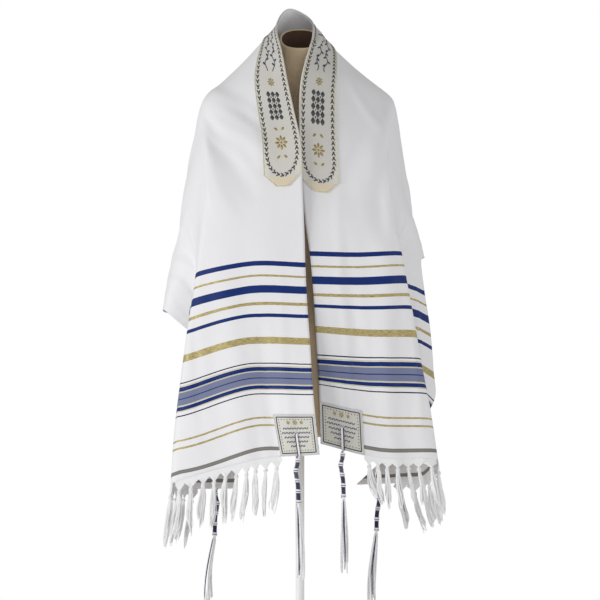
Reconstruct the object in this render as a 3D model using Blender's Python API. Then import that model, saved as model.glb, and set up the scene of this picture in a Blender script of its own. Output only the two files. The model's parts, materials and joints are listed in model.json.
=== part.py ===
"""A fringed prayer shawl draped over a limbless dress form on a slim stand.

The shawl is one woven rectangle. It hangs over the shoulders of the form like a stole: the middle of
one long edge stands up behind the neck, and the two short, fringed ends hang side by side in front.
A neckband lies along that long edge, a patch covers each corner, and a wound tassel hangs from each patch.

Frame: origin on the floor under the middle of the outline, +Z up, the front of the garment faces -Y.
Sizes are in millimetres, and the tables' places are measured from the floor under the pole.
"""

import math
from collections import namedtuple
from random import Random

import bmesh
import bpy
from mathutils import Matrix, Vector

MM = 0.001

# Driving dimensions of the shawl
CLOTH_LENGTH = 1800.0
CLOTH_WIDTH = 550.0
CLOTH_WALL = 1.6
SATIN_WALL = 1.2
SEAM_GAP = 0.3

# Neckband and corner patches. The band's ends narrow to a blunt tip, whose width is a share of the band's
BAND_WIDTH = 75.0
BAND_START = 528.0
BAND_END = 1299.0
BAND_POINT = 22.0
BAND_TIP = 0.3
PATCH_WIDTH = 90.0
PATCH_LENGTH = 85.0
PATCH_ROWS = 3
HOLE_INSET = 45.0

# Fringe: a strip parted from the hem, and tassels with a knot near the top
FRINGE_PITCH = 20.0
FRINGE_LENGTH_LEFT = 98.0
FRINGE_LENGTH_RIGHT = 84.0
FRINGE_SWAY = 6.0
FRINGE_FLARE = 0.05
FRINGE_SEED = 7
# The shortest and the longest strand, as a share of the usual length
UNEVEN = (0.88, 1.08)
STRIP_HEIGHT = 5.0
STRIP_WALL = 1.6
STRIP_END = 0.5
TASSEL_ROOT = 4.0
# Each ring of a tassel: how far down it lies, its width and its thickness
TASSEL_RINGS = ((0.1, 3.4, 2.6), (0.16, 6.4, 5.2), (0.23, 4.4, 3.6), (0.7, 9.5, 6.5), (1.0, 7.0, 4.5))

# Corner tassels: a wound stretch with knots, then loose strands. Each station of the wound stretch gives how
# far down it lies, its radius, and how far it swings aside
CORD_RADIUS = 1.5
CORD_ROOM = 0.8
WOUND_LENGTH = 82.0
WOUND_BELOW = 6.0
WOUND_STANDS_OUT = 7.0
WOUND_SIDES = 8
WOUND_STATIONS = (
    (0.0, 2.0, 0),
    (0.03, 4.2, 0),
    (0.1, 2.4, -1),
    (0.26, 2.4, -4),
    (0.31, 3.9, -4),
    (0.37, 2.4, -3),
    (0.6, 2.4, 0),
    (0.65, 3.9, 0),
    (0.71, 2.4, 0),
    (0.91, 2.4, 1),
    (0.96, 4.2, 1),
    (1.0, 3.8, 1),
)
KNOT_TAPER = 3.5
KNOT_TAPER_SHARE = 0.3
STRAND_APART = 0.7
STRAND_SWAY = 1.2
STRAND_LENGTH = 130.0
STRAND_SPREAD = 5.0
# Each ring of a loose strand: how far down it lies, and its radius
STRAND_RINGS = ((0.04, 0.7), (0.3, 1.1), (0.65, 1.2), (1.0, 0.9))

# Facets of the shawl: rows along its length, and the columns that lie a fixed way in from each long edge
ROW_STEP = 27.6
NECK_COLUMNS = (0, 20, 38, 56, BAND_WIDTH, PATCH_WIDTH)
FOLD_RADIUS = 9.0
FRONT_COLUMNS = 4
BACK_COLUMNS = 7
LOW_COLUMNS = (PATCH_WIDTH, 60, 30, 0)

# One row for each cross-section of the draped cloth, from the left fringed end over the neck to the right one.
# along: distance from the left end. ridge_at: how far across the cloth the ridge lies. Then places in the
# frame: the neck edge, the ridge (front fold, shoulder line and back crown), the valley behind it, and the
# low edge. bulge and lift move the middle of the front stretch forwards and up, wing moves the middle of the
# last stretch outwards, away from the form.
Section = namedtuple("Section", "along ridge_at neck bulge lift ridge valley wing low")
SECTIONS = (
    Section(0, 282, (36, -146, 345), -9, 16, (-234, -80, 291), (-222, 30, 276), 14, (-118, 84, 276)),
    Section(120, 256, (25, -142, 450), -4, 18, (-225, -84, 408), (-214, 44, 390), 16, (-112, 88, 384)),
    Section(240, 238, (18, -132, 555), 4, 15, (-212, -88, 525), (-198, 36, 502), 14, (-116, 92, 488)),
    Section(320, 222, (13, -127, 630), 8, 13, (-200, -92, 605), (-190, 22, 578), 12, (-142, 92, 545)),
    Section(388, 200, (10, -129, 693), 10, 11, (-188, -98, 676), (-190, 8, 642), 10, (-198, 66, 566)),
    Section(450, 192, (8, -131, 758), 10, 8, (-180, -102, 742), (-196, 0, 702), 12, (-250, 52, 608)),
    Section(520, 184, (5, -132, 832), 8, 3, (-171, -98, 812), (-210, 8, 748), 14, (-254, 118, 606)),
    Section(600, 182, (1, -124, 920), 4, 4, (-169, -78, 892), (-220, 28, 796), 10, (-226, 168, 602)),
    Section(660, 184, (-12, -105, 982), 0, 10, (-174, -44, 950), (-214, 54, 838), 6, (-188, 184, 603)),
    Section(710, 196, (-23, -84, 1034), 0, 24, (-183, -4, 991), (-198, 80, 862), 8, (-140, 178, 607)),
    Section(765, 212, (-33, -60, 1088), 2, 36, (-152, 50, 1004), (-148, 108, 850), 4, (-88, 152, 613)),
    Section(830, 222, (-42, -14, 1136), 10, 42, (-92, 92, 984), (-84, 116, 820), 0, (-46, 132, 620)),
    Section(900, 222, (-20, 54, 1173), 0, 0, (-6, 108, 966), (-4, 120, 800), 0, (0, 128, 628)),
    Section(960, 224, (18, 46, 1152), 4, 22, (76, 96, 980), (74, 116, 816), 0, (42, 134, 636)),
    Section(1030, 222, (23, -14, 1120), 8, 16, (146, 50, 1000), (144, 110, 846), 4, (88, 154, 648)),
    Section(1090, 204, (9, -64, 1070), 2, 12, (172, -4, 1000), (188, 82, 862), 8, (136, 182, 664)),
    Section(1140, 188, (0, -86, 1022), 0, 6, (166, -42, 966), (202, 52, 842), 8, (186, 188, 684)),
    Section(1200, 178, (-2, -110, 938), 2, 4, (163, -72, 904), (203, 28, 812), 6, (218, 160, 700)),
    Section(1280, 174, (2, -118, 852), 4, 0, (166, -88, 828), (204, 6, 768), 4, (233, 110, 708)),
    Section(1350, 172, (9, -122, 778), 6, 0, (175, -92, 764), (176, -4, 716), 4, (226, 78, 700)),
    Section(1412, 174, (18, -122, 714), 6, -2, (187, -92, 714), (156, 0, 668), 8, (234, 84, 641)),
    Section(1480, 184, (24, -118, 648), 6, -2, (199, -90, 648), (164, 14, 604), 8, (244, 88, 573)),
    Section(1550, 202, (28, -114, 586), 6, -2, (212, -86, 578), (182, 24, 530), 8, (249, 90, 500)),
    Section(1610, 216, (31, -112, 536), 6, -4, (222, -84, 520), (200, 28, 472), 8, (250, 92, 440)),
    Section(1690, 230, (35, -108, 465), 6, -7, (236, -80, 440), (224, 30, 395), 10, (200, 90, 372)),
    Section(1800, 240, (38, -104, 364), 6, -12, (254, -74, 334), (232, 34, 290), 14, (106, 78, 284)),
)
# Main folds: two ends of its line on the flat cloth, how wide it is each side, and how far out it stands
Fold = namedtuple("Fold", "from_along from_across to_along to_across width height")
FOLDS = (
    Fold(560, 50, 750, 200, 30, 7),
    Fold(500, 90, 715, 202, 26, -6),
    Fold(440, 120, 690, 228, 30, 5),
    Fold(-200, 160, 470, 140, 34, 6),
    Fold(-120, 95, 330, 95, 26, -4),
    Fold(1110, 190, 1300, 100, 28, 6),
    Fold(1150, 182, 1400, 118, 26, -5),
    Fold(1300, 125, 1960, 150, 30, 7),
    Fold(1380, 75, 1900, 92, 24, -5),
    Fold(700, 250, 740, 800, 36, 12),
    Fold(775, 260, 800, 800, 34, -10),
    Fold(860, 240, 870, 800, 36, 9),
    Fold(940, 260, 935, 800, 34, -8),
    Fold(1020, 250, 1005, 800, 36, 10),
    Fold(1085, 270, 1075, 800, 30, -8),
    Fold(600, 280, 560, 780, 30, -7),
    Fold(1200, 280, 1230, 780, 30, -7),
    Fold(100, 330, 600, 420, 30, 6),
    Fold(-150, 400, 400, 440, 30, -5),
    Fold(1280, 400, 1660, 340, 30, 7),
    Fold(1350, 470, 1950, 420, 30, -6),
)
# How strongly the cross-section keeps its direction through each of its six points: low makes a tight fold
TENSION = (1.0, 1.0, 0.55, 0.75, 1.0, 1.0)
# The left front corner curls forwards: how far that moves the middle of the front stretch, and how far up
CURL_SHIFT = 19.0
CURL_REACH = 388.0

# Rings of the dress form's body, bottom to top: half its width, half its depth, and how far back its middle is
Ring = namedtuple("Ring", "height half_width half_depth middle")
FORM_RINGS = (
    Ring(376, 138, 86, 0),
    Ring(384, 146, 93, 0),
    Ring(425, 152, 98, 0),
    Ring(470, 156, 101, 0),
    Ring(520, 154, 100, 0),
    Ring(580, 146, 96, 0),
    Ring(640, 124, 84, 0),
    Ring(700, 122, 84, 0),
    Ring(760, 130, 94, -4),
    Ring(820, 140, 104, -8),
    Ring(870, 145, 100, -4),
    Ring(920, 152, 92, 4),
    Ring(955, 158, 80, 8),
    Ring(974, 160, 66, 8),
    Ring(986, 152, 56, 8),
    Ring(1002, 122, 50, 6),
    Ring(1018, 84, 46, 4),
    Ring(1034, 54, 43, 2),
    Ring(1054, 43, 39, 0),
    Ring(1076, 38, 36, 0),
)
FORM_SIDES = 36
FORM_SQUARENESS = 2.3
CLOTH_CLEARANCE = 3.6
# The cloth is cleared in small steps, each a share of the depth that is left
CLEARING_STEPS = 12
CLEARING_SHARE = 0.7
CLEARING_EXCESS = 0.2
# The neck is a tube, cut off at a slant that is lower in front
NECK_RIM_FRONT = 1094.0
NECK_RIM_BACK = 1134.0
NECK_WALL = 4.0
RIM_ROOM = 5.0
NECK_HOLLOW_DEPTH = 70.0

POLE_DIAMETER = 16.0
BASE_DIAMETER = 320.0
BASE_THICKNESS = 12.0
BASE_SIDES = 40
POLE_SIDES = 16


def smooth_through(knots, values, at):
    """The value at one place of the smooth curve through values, whose knots rise."""
    last = len(knots) - 1
    cell = 0
    while cell < last - 1 and at > knots[cell + 1]:
        cell += 1
    before, after = max(cell - 1, 0), min(cell + 2, last)
    span = knots[cell + 1] - knots[cell]
    slope_in = (values[cell + 1] - values[before]) / (knots[cell + 1] - knots[before])
    slope_out = (values[after] - values[cell]) / (knots[after] - knots[cell])
    t = (at - knots[cell]) / span
    step = values[cell + 1] - values[cell]
    bend_in = slope_in * span - step
    bend_out = slope_out * span - step
    return values[cell] + step * t + (bend_in * (1 - t) - bend_out * t) * t * (1 - t)


def section_at(along):
    """The row of SECTIONS for any distance along the cloth, blended from its neighbours."""
    knots = [row.along for row in SECTIONS]
    blended = [along]
    for field in Section._fields[1:]:
        values = [getattr(row, field) for row in SECTIONS]
        if isinstance(values[0], tuple):
            values = [Vector(value) for value in values]
        blended.append(smooth_through(knots, values, along))
    return Section(*blended)


def section_knots(section):
    """Six points of a cross-section, and how far across the cloth each lies."""
    curl = CURL_SHIFT * max(0.0, 1 - section.along / CURL_REACH) ** 2
    front_middle = (section.neck + section.ridge) / 2 + Vector((curl, -section.bulge, section.lift))
    back_middle = (section.valley + section.low) / 2
    outward = Vector((back_middle.x, back_middle.y, 0)).normalized()
    back_middle += outward * section.wing
    points = [section.neck, front_middle, section.ridge, section.valley, back_middle, section.low]
    runs = [(points[i + 1] - points[i]).length for i in (2, 3, 4)]
    stretch = (CLOTH_WIDTH - section.ridge_at) / sum(runs)
    across = [0, section.ridge_at / 2, section.ridge_at]
    for run in runs:
        across.append(across[-1] + run * stretch)
    return points, across


def section_point(section, across):
    """The point of a cross-section at one distance across the cloth."""
    points, knots = section_knots(section)
    cell = 0
    while cell < len(knots) - 2 and across > knots[cell + 1]:
        cell += 1
    slopes = []
    for i in (cell, cell + 1):
        before, after = max(i - 1, 0), min(i + 1, len(knots) - 1)
        slopes.append((points[after] - points[before]) / (knots[after] - knots[before]) * TENSION[i])
    span = knots[cell + 1] - knots[cell]
    t = (across - knots[cell]) / span
    step = points[cell + 1] - points[cell]
    bend_in = slopes[0] * span - step
    bend_out = slopes[1] * span - step
    return points[cell] + step * t + (bend_in * (1 - t) - bend_out * t) * t * (1 - t)


def ring_at(height):
    knots = [ring.height for ring in FORM_RINGS]
    inside = min(max(height, knots[0]), knots[-1])
    return Ring(*(smooth_through(knots, [ring[i] for ring in FORM_RINGS], inside) for i in range(4)))


def rim_height(depth):
    """Height of the neck's slanted rim at one distance back."""
    half = FORM_RINGS[-1].half_depth
    share = (depth + half) / (2 * half)
    return NECK_RIM_FRONT + (NECK_RIM_BACK - NECK_RIM_FRONT) * share


def depth_in_form(point):
    """About how far inside the dress form a point lies, in millimetres: negative outside."""
    above = point.z - rim_height(point.y) - RIM_ROOM
    if above > 0:
        return -above
    ring = ring_at(point.z)
    power = FORM_SQUARENESS
    reach = (abs(point.x / ring.half_width) ** power + abs((point.y - ring.middle) / ring.half_depth) ** power)
    return (1 - reach ** (1 / power)) * ring.half_depth


def clear_of_form(point):
    """The point, moved straight out of the dress form until it is clear of it."""
    moved = point.copy()
    for _ in range(CLEARING_STEPS):
        depth = depth_in_form(moved)
        if depth < -CLOTH_CLEARANCE:
            return moved
        slope = Vector()
        for axis in range(3):
            step = Vector()
            step[axis] = 1
            slope[axis] = depth_in_form(moved + step) - depth_in_form(moved - step)
        moved -= slope.normalized() * (depth + CLOTH_CLEARANCE + CLEARING_EXCESS) * CLEARING_SHARE
    return moved


def fold_height(along, across):
    """How far the cloth's folds lift it off its smooth drape at one place."""
    height = 0.0
    for fold in FOLDS:
        run = Vector((fold.to_along - fold.from_along, fold.to_across - fold.from_across))
        place = Vector((along - fold.from_along, across - fold.from_across))
        share = place.dot(run) / run.length_squared
        aside = abs(place.cross(run)) / run.length
        if 0 < share < 1 and aside < fold.width:
            height += fold.height * math.cos(aside / fold.width * math.pi / 2) ** 2 * math.sin(share * math.pi)
    return height


def cloth_point(along, across):
    """Where the middle of the cloth's wall lies, for any place on the flat cloth."""
    section = section_at(along)
    point = section_point(section, across)
    height = fold_height(along, across)
    if height:
        down = section_point(section_at(along + 1), across) - section_point(section_at(along - 1), across)
        over = section_point(section, across + 1) - section_point(section, across - 1)
        point += down.cross(over).normalized() * height
    return clear_of_form(point)


def row_places():
    """Distances along the cloth of its rows of points, with rows in each patch and at its edge."""
    patch = [PATCH_LENGTH * i / PATCH_ROWS for i in range(PATCH_ROWS + 1)]
    between = CLOTH_LENGTH - 2 * PATCH_LENGTH
    count = round(between / ROW_STEP)
    middle = [PATCH_LENGTH + between * i / count for i in range(1, count)]
    return patch + middle + [CLOTH_LENGTH - place for place in reversed(patch)]


def column_places(ridge_at):
    """Distances across the cloth of its columns of points, with three of them round the ridge."""
    start = NECK_COLUMNS[-1]
    low = [CLOTH_WIDTH - place for place in LOW_COLUMNS]
    run_in = ridge_at - FOLD_RADIUS - start
    run_out = low[0] - ridge_at - FOLD_RADIUS
    front = [start + run_in * i / FRONT_COLUMNS for i in range(1, FRONT_COLUMNS + 1)]
    back = [ridge_at + FOLD_RADIUS + run_out * i / BACK_COLUMNS for i in range(BACK_COLUMNS)]
    return [*NECK_COLUMNS, *front, ridge_at, *back, *low]


def difference(points, i):
    return points[min(i + 1, len(points) - 1)] - points[max(i - 1, 0)]


class Drape:
    """The draped cloth as rows and columns of points, each with its outward direction."""

    def __init__(self):
        self.rows = row_places()
        places = [column_places(section_at(along).ridge_at) for along in self.rows]
        self.points = [[cloth_point(along, across) for across in row] for along, row in zip(self.rows, places)]
        columns = list(zip(*self.points))
        self.outward = [
            [difference(columns[j], i).cross(difference(row, j)).normalized() for j in range(len(row))]
            for i, row in enumerate(self.points)
        ]

    def moved_out(self, rows, columns, height):
        """Points of some rows and columns, moved out of the cloth. A row may lie between two of the cloth's rows."""
        return [[self.at(row, column, height) for column in columns] for row in rows]

    def at(self, row, column, height):
        low = min(int(row), len(self.rows) - 2)
        share = row - low
        first, second = (self.points[i][column] + self.outward[i][column] * height for i in (low, low + 1))
        return first.lerp(second, share)

    def row_of(self, along):
        """The row, with its fraction, that lies at a distance along the cloth."""
        low = max(i for i, place in enumerate(self.rows[:-1]) if place <= along)
        return low + (along - self.rows[low]) / (self.rows[low + 1] - self.rows[low])


def finish(name, bm, colour, roughness, metallic=0.0):
    """Makes an object of the bmesh, in metres, with its material, and closes the bmesh."""
    bmesh.ops.recalc_face_normals(bm, faces=bm.faces)
    bmesh.ops.scale(bm, vec=(MM, MM, MM), verts=bm.verts)
    mesh = bpy.data.meshes.new(name)
    bm.to_mesh(mesh)
    bm.free()
    mesh.shade_smooth()
    mesh.set_sharp_from_angle(angle=math.radians(50))
    material = bpy.data.materials.new(name)
    material.use_nodes = True
    surface = material.node_tree.nodes["Principled BSDF"]
    surface.inputs["Base Color"].default_value = (*colour, 1)
    surface.inputs["Roughness"].default_value = roughness
    surface.inputs["Metallic"].default_value = metallic
    mesh.materials.append(material)
    obj = bpy.data.objects.new(name, mesh)
    bpy.context.scene.collection.objects.link(obj)
    return obj


def thick_sheet(name, inner, outer, colour, roughness):
    """A wall between two grids of points of the same size."""
    rows, columns = len(inner) - 1, len(inner[0]) - 1
    bm = bmesh.new()
    bmesh.ops.create_grid(bm, x_segments=rows, y_segments=columns, size=0.5)
    bmesh.ops.extrude_face_region(bm, geom=bm.faces[:])
    bm.verts.index_update()
    seen = set()
    for vertex in bm.verts:
        i, j = round((vertex.co.x + 0.5) * rows), round((vertex.co.y + 0.5) * columns)
        vertex.co = inner[i][j] if (i, j) in seen else outer[i][j]
        seen.add((i, j))
    return finish(name, bm, colour, roughness)


def extrude_through(bm, face, rings):
    """Extrudes a face through rings of points, each with a point for each of its corners, and gives the last."""
    for ring in rings:
        face = bmesh.ops.extrude_discrete_faces(bm, faces=[face])["faces"][0]
        for vertex, point in zip(face.verts, ring):
            vertex.co = point
    return face


def close_start(bm):
    """Fills the hole that an extruded first face leaves behind it."""
    bmesh.ops.holes_fill(bm, edges=[edge for edge in bm.edges if edge.is_boundary], sides=0)


def round_ring(centre, radius, sides, down):
    """A ring of points round a centre, square to a direction."""
    side = down.cross(Vector((0, 1, 0))).normalized()
    front = side.cross(down).normalized()
    turns = [2 * math.pi * k / sides for k in range(sides)]
    return [centre + (side * math.cos(turn) + front * math.sin(turn)) * radius for turn in turns]


def shawl(drape):
    rows, columns = range(len(drape.rows)), range(len(drape.points[0]))
    inner = drape.moved_out(rows, columns, -CLOTH_WALL / 2)
    outer = drape.moved_out(rows, columns, CLOTH_WALL / 2)
    thick_sheet("shawl", inner, outer, (0.78, 0.78, 0.80), 0.8)


def satin_piece(name, drape, rows, columns):
    """A thin piece that lies on the outside of the cloth."""
    low = CLOTH_WALL / 2 + SEAM_GAP
    inner = [[drape.at(row, column, low) for row, column in line] for line in rows_of(rows, columns)]
    outer = [[drape.at(row, column, low + SATIN_WALL) for row, column in line] for line in rows_of(rows, columns)]
    thick_sheet(name, inner, outer, (0.60, 0.59, 0.54), 0.45)


def rows_of(rows, columns):
    """Pairs of row and column. A row is one number, or one for each column where it isn't straight."""
    lines = []
    for row in rows:
        places = row if isinstance(row, list) else [row] * len(columns)
        lines.append(list(zip(places, columns)))
    return lines


def band_back_off(across):
    """How far the neckband's end lies back from its blunt tip."""
    beyond_tip = abs(2 * across / BAND_WIDTH - 1) - BAND_TIP
    return BAND_POINT * max(0.0, beyond_tip / (1 - BAND_TIP))


def neckband(drape):
    """The satin band round the neck, with a blunt point at each end."""
    columns = [j for j, place in enumerate(NECK_COLUMNS) if place <= BAND_WIDTH]
    back_off = [band_back_off(NECK_COLUMNS[j]) for j in columns]
    first = [drape.row_of(BAND_START + distance) for distance in back_off]
    last = [drape.row_of(BAND_END - distance) for distance in back_off]
    between = range(math.ceil(max(first)), math.floor(min(last)) + 1)
    satin_piece("neckband", drape, [first, *between, last], columns)


def corner_patches(drape):
    neck_side = list(range(len(NECK_COLUMNS)))
    count = len(drape.points[0])
    low_side = list(range(count - len(LOW_COLUMNS), count))
    left_end = list(range(PATCH_ROWS + 1))
    right_end = [len(drape.rows) - 1 - row for row in reversed(left_end)]
    for end, rows in (("left", left_end), ("right", right_end)):
        for side, columns in (("front", neck_side), ("back", low_side)):
            satin_piece(f"patch_{end}_{side}", drape, rows, columns)


def fringe(name, drape, end, length):
    """A narrow strip under one short end, between the patches, and the knotted tassels that grow from it."""
    random = Random(FRINGE_SEED + end)
    edge, inside = (0, 1) if end < 0 else (len(drape.rows) - 1, len(drape.rows) - 2)
    hem = drape.points[edge]
    away = [(hem[j] - drape.points[inside][j]).normalized() for j in range(len(hem))]
    lengths = [0.0]
    for j in range(1, len(hem)):
        lengths.append(lengths[-1] + (hem[j] - hem[j - 1]).length)

    def station(distance):
        cell = max(j for j in range(len(hem) - 1) if lengths[j] <= distance)
        share = (distance - lengths[cell]) / (lengths[cell + 1] - lengths[cell])
        out = drape.outward[edge][cell].lerp(drape.outward[edge][cell + 1], share).normalized()
        return hem[cell].lerp(hem[cell + 1], share), away[cell].lerp(away[cell + 1], share).normalized(), out

    def strip_ring(distance):
        place, down, out = station(distance)
        top, low = place + down * SEAM_GAP, place + down * (SEAM_GAP + STRIP_HEIGHT)
        half = out * STRIP_WALL / 2
        return [top + half, top - half, low - half, low + half]

    between = lengths[len(NECK_COLUMNS) - 1:len(hem) - len(LOW_COLUMNS) + 1]
    stations, roots = [between[0] + STRIP_END], []
    for start, end in zip(between, between[1:]):
        count = round((end - start) / FRINGE_PITCH)
        for k in range(count):
            middle = start + (end - start) * (k + 0.5) / count
            roots.append((len(stations), middle))
            stations += [middle - TASSEL_ROOT / 2, middle + TASSEL_ROOT / 2]
        stations.append(min(end, between[-1] - STRIP_END))
    bm = bmesh.new()
    face = bm.faces.new([bm.verts.new(point) for point in strip_ring(stations[0])])
    corners = [list(face.verts)]
    for distance in stations[1:]:
        face = extrude_through(bm, face, [strip_ring(distance)])
        corners.append(list(face.verts))
    close_start(bm)
    for index, place in roots:
        before, after = corners[index], corners[index + 1]
        underside = bm.faces.get([before[2], before[3], after[3], after[2]])
        middle = underside.calc_center_median()
        out = station(place)[2]
        aside = out.cross(Vector((0, 0, 1))) * random.uniform(-FRINGE_SWAY, FRINGE_SWAY)
        lean = aside + out * random.uniform(-1, 1) + Vector((middle.x * FRINGE_FLARE, 0, 0))
        hang = length * random.uniform(*UNEVEN)
        rings = []
        for share, wide, thick in TASSEL_RINGS:
            centre = middle + Vector((0, 0, -hang * share)) + lean * share ** 1.5
            rings.append([centre + flattened(vertex.co - middle, out, wide, thick) for vertex in underside.verts])
        extrude_through(bm, underside, rings)
    return finish(name, bm, (0.80, 0.80, 0.80), 0.85)


def flattened(corner, out, wide, thick):
    """A corner of a tassel's root, turned level and set to half a width and half a thickness."""
    level = Vector((out.x, out.y, 0)).normalized()
    along = level.cross(Vector((0, 0, 1)))
    return along * math.copysign(wide / 2, corner.dot(along)) + level * math.copysign(thick / 2, corner.dot(level))


def corner_tassel(name, drape, along, across, way):
    """One long corner tassel: a cord from the hole in the patch, a wound stretch with knots, and loose ends."""
    random = Random(len(name) + way)
    row = drape.row_of(along)
    columns = column_places(section_at(along).ridge_at)
    before = max(j for j, place in enumerate(columns) if place <= across)
    share = (across - columns[before]) / (columns[before + 1] - columns[before])
    if along < CLOTH_LENGTH / 2:
        rows = [row, *range(math.floor(row), -1, -1)]
    else:
        rows = [row, *range(math.ceil(row), len(drape.rows))]

    def on_patch(row, lift):
        return drape.at(row, before, lift).lerp(drape.at(row, before + 1, lift), share)

    lift = CLOTH_WALL / 2 + SATIN_WALL + SEAM_GAP + CORD_ROOM + CORD_RADIUS
    route = [on_patch(row, lift) for row in rows]
    radii = [CORD_RADIUS] * len(route)
    out = route[-1] - on_patch(rows[-1], 0)
    level = Vector((out.x, out.y, 0)).normalized()
    top = route[-1] + level * WOUND_STANDS_OUT + Vector((0, 0, -WOUND_BELOW))
    for share_down, radius, aside in WOUND_STATIONS:
        route.append(top + Vector((aside * way, 0, -WOUND_LENGTH * share_down)))
        radii.append(radius)
    bm = bmesh.new()
    rings = []
    for i, centre in enumerate(route):
        down = (route[min(i + 1, len(route) - 1)] - route[max(i - 1, 0)]).normalized()
        rings.append(round_ring(centre, radii[i], WOUND_SIDES, down))
    first = bm.faces.new([bm.verts.new(point) for point in rings[0]])
    last = extrude_through(bm, first, rings[1:])
    around = list(last.verts)
    low_end = route[-1] + Vector((0, 0, -KNOT_TAPER))
    taper = [low_end + (vertex.co - route[-1]) * KNOT_TAPER_SHARE for vertex in around]
    last = extrude_through(bm, last, [taper])
    below = list(last.verts)
    close_start(bm)
    roots = []
    for k in range(WOUND_SIDES):
        after = (k + 1) % WOUND_SIDES
        roots.append(bm.faces.get([around[k], around[after], below[after], below[k]]))
    bmesh.ops.inset_individual(bm, faces=roots, thickness=STRAND_APART / 2)
    for k, root in enumerate(roots):
        middle = root.calc_center_median()
        turn = 2 * math.pi * k / WOUND_SIDES
        spread = Vector((math.cos(turn), math.sin(turn), 0)) * STRAND_SPREAD
        sway = Vector((random.uniform(-1, 1), random.uniform(-1, 1), 0)) * STRAND_SWAY
        length = STRAND_LENGTH * random.uniform(*UNEVEN)
        corners = [vertex.co - middle for vertex in root.verts]
        root.normal_update()
        normal = root.normal if root.normal.z < 0 else -root.normal
        strand = []
        for share_down, radius in STRAND_RINGS:
            centre = middle + Vector((0, 0, -length * share_down)) + spread * share_down ** 0.5 + sway * share_down
            strand.append([centre + laid_flat(corner, normal) * radius for corner in corners])
        extrude_through(bm, root, strand)
    return finish(name, bm, (0.80, 0.80, 0.80), 0.8)


def laid_flat(corner, normal):
    """Which way a corner of a strand's root points once the knot's slanted face is turned straight down."""
    return (normal.rotation_difference(Vector((0, 0, -1))) @ corner).normalized()


def corner_tassels(drape):
    for end, along in (("left", HOLE_INSET), ("right", CLOTH_LENGTH - HOLE_INSET)):
        corner_tassel(f"corner_tassel_{end}_front", drape, along, HOLE_INSET, 1)
        corner_tassel(f"corner_tassel_{end}_back", drape, along, CLOTH_WIDTH - HOLE_INSET, -1)


def ellipse_ring(ring, height_of=None):
    """Points round the dress form at one ring. height_of may give each point's height from its depth."""
    points = []
    power = 2 / FORM_SQUARENESS
    for k in range(FORM_SIDES):
        turn = 2 * math.pi * k / FORM_SIDES
        x = math.copysign(abs(math.cos(turn)) ** power, math.cos(turn)) * ring.half_width
        y = math.copysign(abs(math.sin(turn)) ** power, math.sin(turn)) * ring.half_depth + ring.middle
        points.append(Vector((x, y, height_of(y) if height_of else ring.height)))
    return points


def dress_form():
    """The limbless body that the shawl rests on, with a hollow neck that is cut off at a slant."""
    top = FORM_RINGS[-1]
    inside = Ring(0, top.half_width - NECK_WALL, top.half_depth - NECK_WALL, top.middle)
    rings = [ellipse_ring(ring) for ring in FORM_RINGS]
    rings.append(ellipse_ring(top, rim_height))
    rings.append(ellipse_ring(inside, rim_height))
    rings.append(ellipse_ring(inside._replace(height=NECK_RIM_FRONT - NECK_HOLLOW_DEPTH)))
    bm = bmesh.new()
    first = bm.faces.new([bm.verts.new(point) for point in rings[0]])
    extrude_through(bm, first, rings[1:])
    close_start(bm)
    return finish("dress_form", bm, (0.62, 0.46, 0.34), 0.85)


def turned(name, profile, sides, colour, roughness, metallic):
    """A round piece from rows of radius and height, bottom to top."""
    rings = [round_ring(Vector((0, 0, height)), radius, sides, Vector((0, 0, -1))) for radius, height in profile]
    bm = bmesh.new()
    first = bm.faces.new([bm.verts.new(point) for point in rings[0]])
    extrude_through(bm, first, rings[1:])
    close_start(bm)
    return finish(name, bm, colour, roughness, metallic)


def stand():
    edge = BASE_DIAMETER / 2
    base = ((edge - 1.5, 0), (edge, 1.5), (edge, BASE_THICKNESS - 3), (edge - 3, BASE_THICKNESS))
    turned("base", base, BASE_SIDES, (0.84, 0.84, 0.84), 0.4, 0.0)
    radius = POLE_DIAMETER / 2
    pole = ((radius, BASE_THICKNESS + SEAM_GAP), (radius, FORM_RINGS[0].height - SEAM_GAP))
    turned("pole", pole, POLE_SIDES, (0.86, 0.86, 0.86), 0.4, 0.0)


def stand_over_origin():
    """Shifts every piece level, so that the origin is on the floor under the middle of the whole outline."""
    points = [vertex.co for obj in bpy.data.objects for vertex in obj.data.vertices]
    shift = Vector()
    for axis in (0, 1):
        places = [point[axis] for point in points]
        shift[axis] = -(min(places) + max(places)) / 2
    for obj in bpy.data.objects:
        obj.data.transform(Matrix.Translation(shift))


def main():
    for obj in list(bpy.data.objects):
        bpy.data.objects.remove(obj)
    drape = Drape()
    shawl(drape)
    neckband(drape)
    corner_patches(drape)
    fringe("fringe_left", drape, -1, FRINGE_LENGTH_LEFT)
    fringe("fringe_right", drape, 1, FRINGE_LENGTH_RIGHT)
    corner_tassels(drape)
    dress_form()
    stand()
    stand_over_origin()


main()
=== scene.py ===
"""A fringed prayer shawl draped over a limbless dress form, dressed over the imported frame.

Every piece starts from the same tables as its CAD solid, with finer points. The shawl is made first, as a
net of points that shows how the flat cloth hangs. The neckband, the patches, their needlework, the fringes
and the corner tassels are then laid out on the flat cloth and carried along with it.

Tables are in millimetres, measured from the floor under the pole. Pieces are in metres, in the frame.
"""

import json
from collections import namedtuple
from functools import lru_cache, partial
from math import atan2, copysign, cos, pi, radians, sin, sqrt, tau
from random import Random

import bmesh
import bpy
from bpy.props import FloatProperty, FloatVectorProperty, IntProperty, PointerProperty
from mathutils import Matrix, Vector, noise

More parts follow.
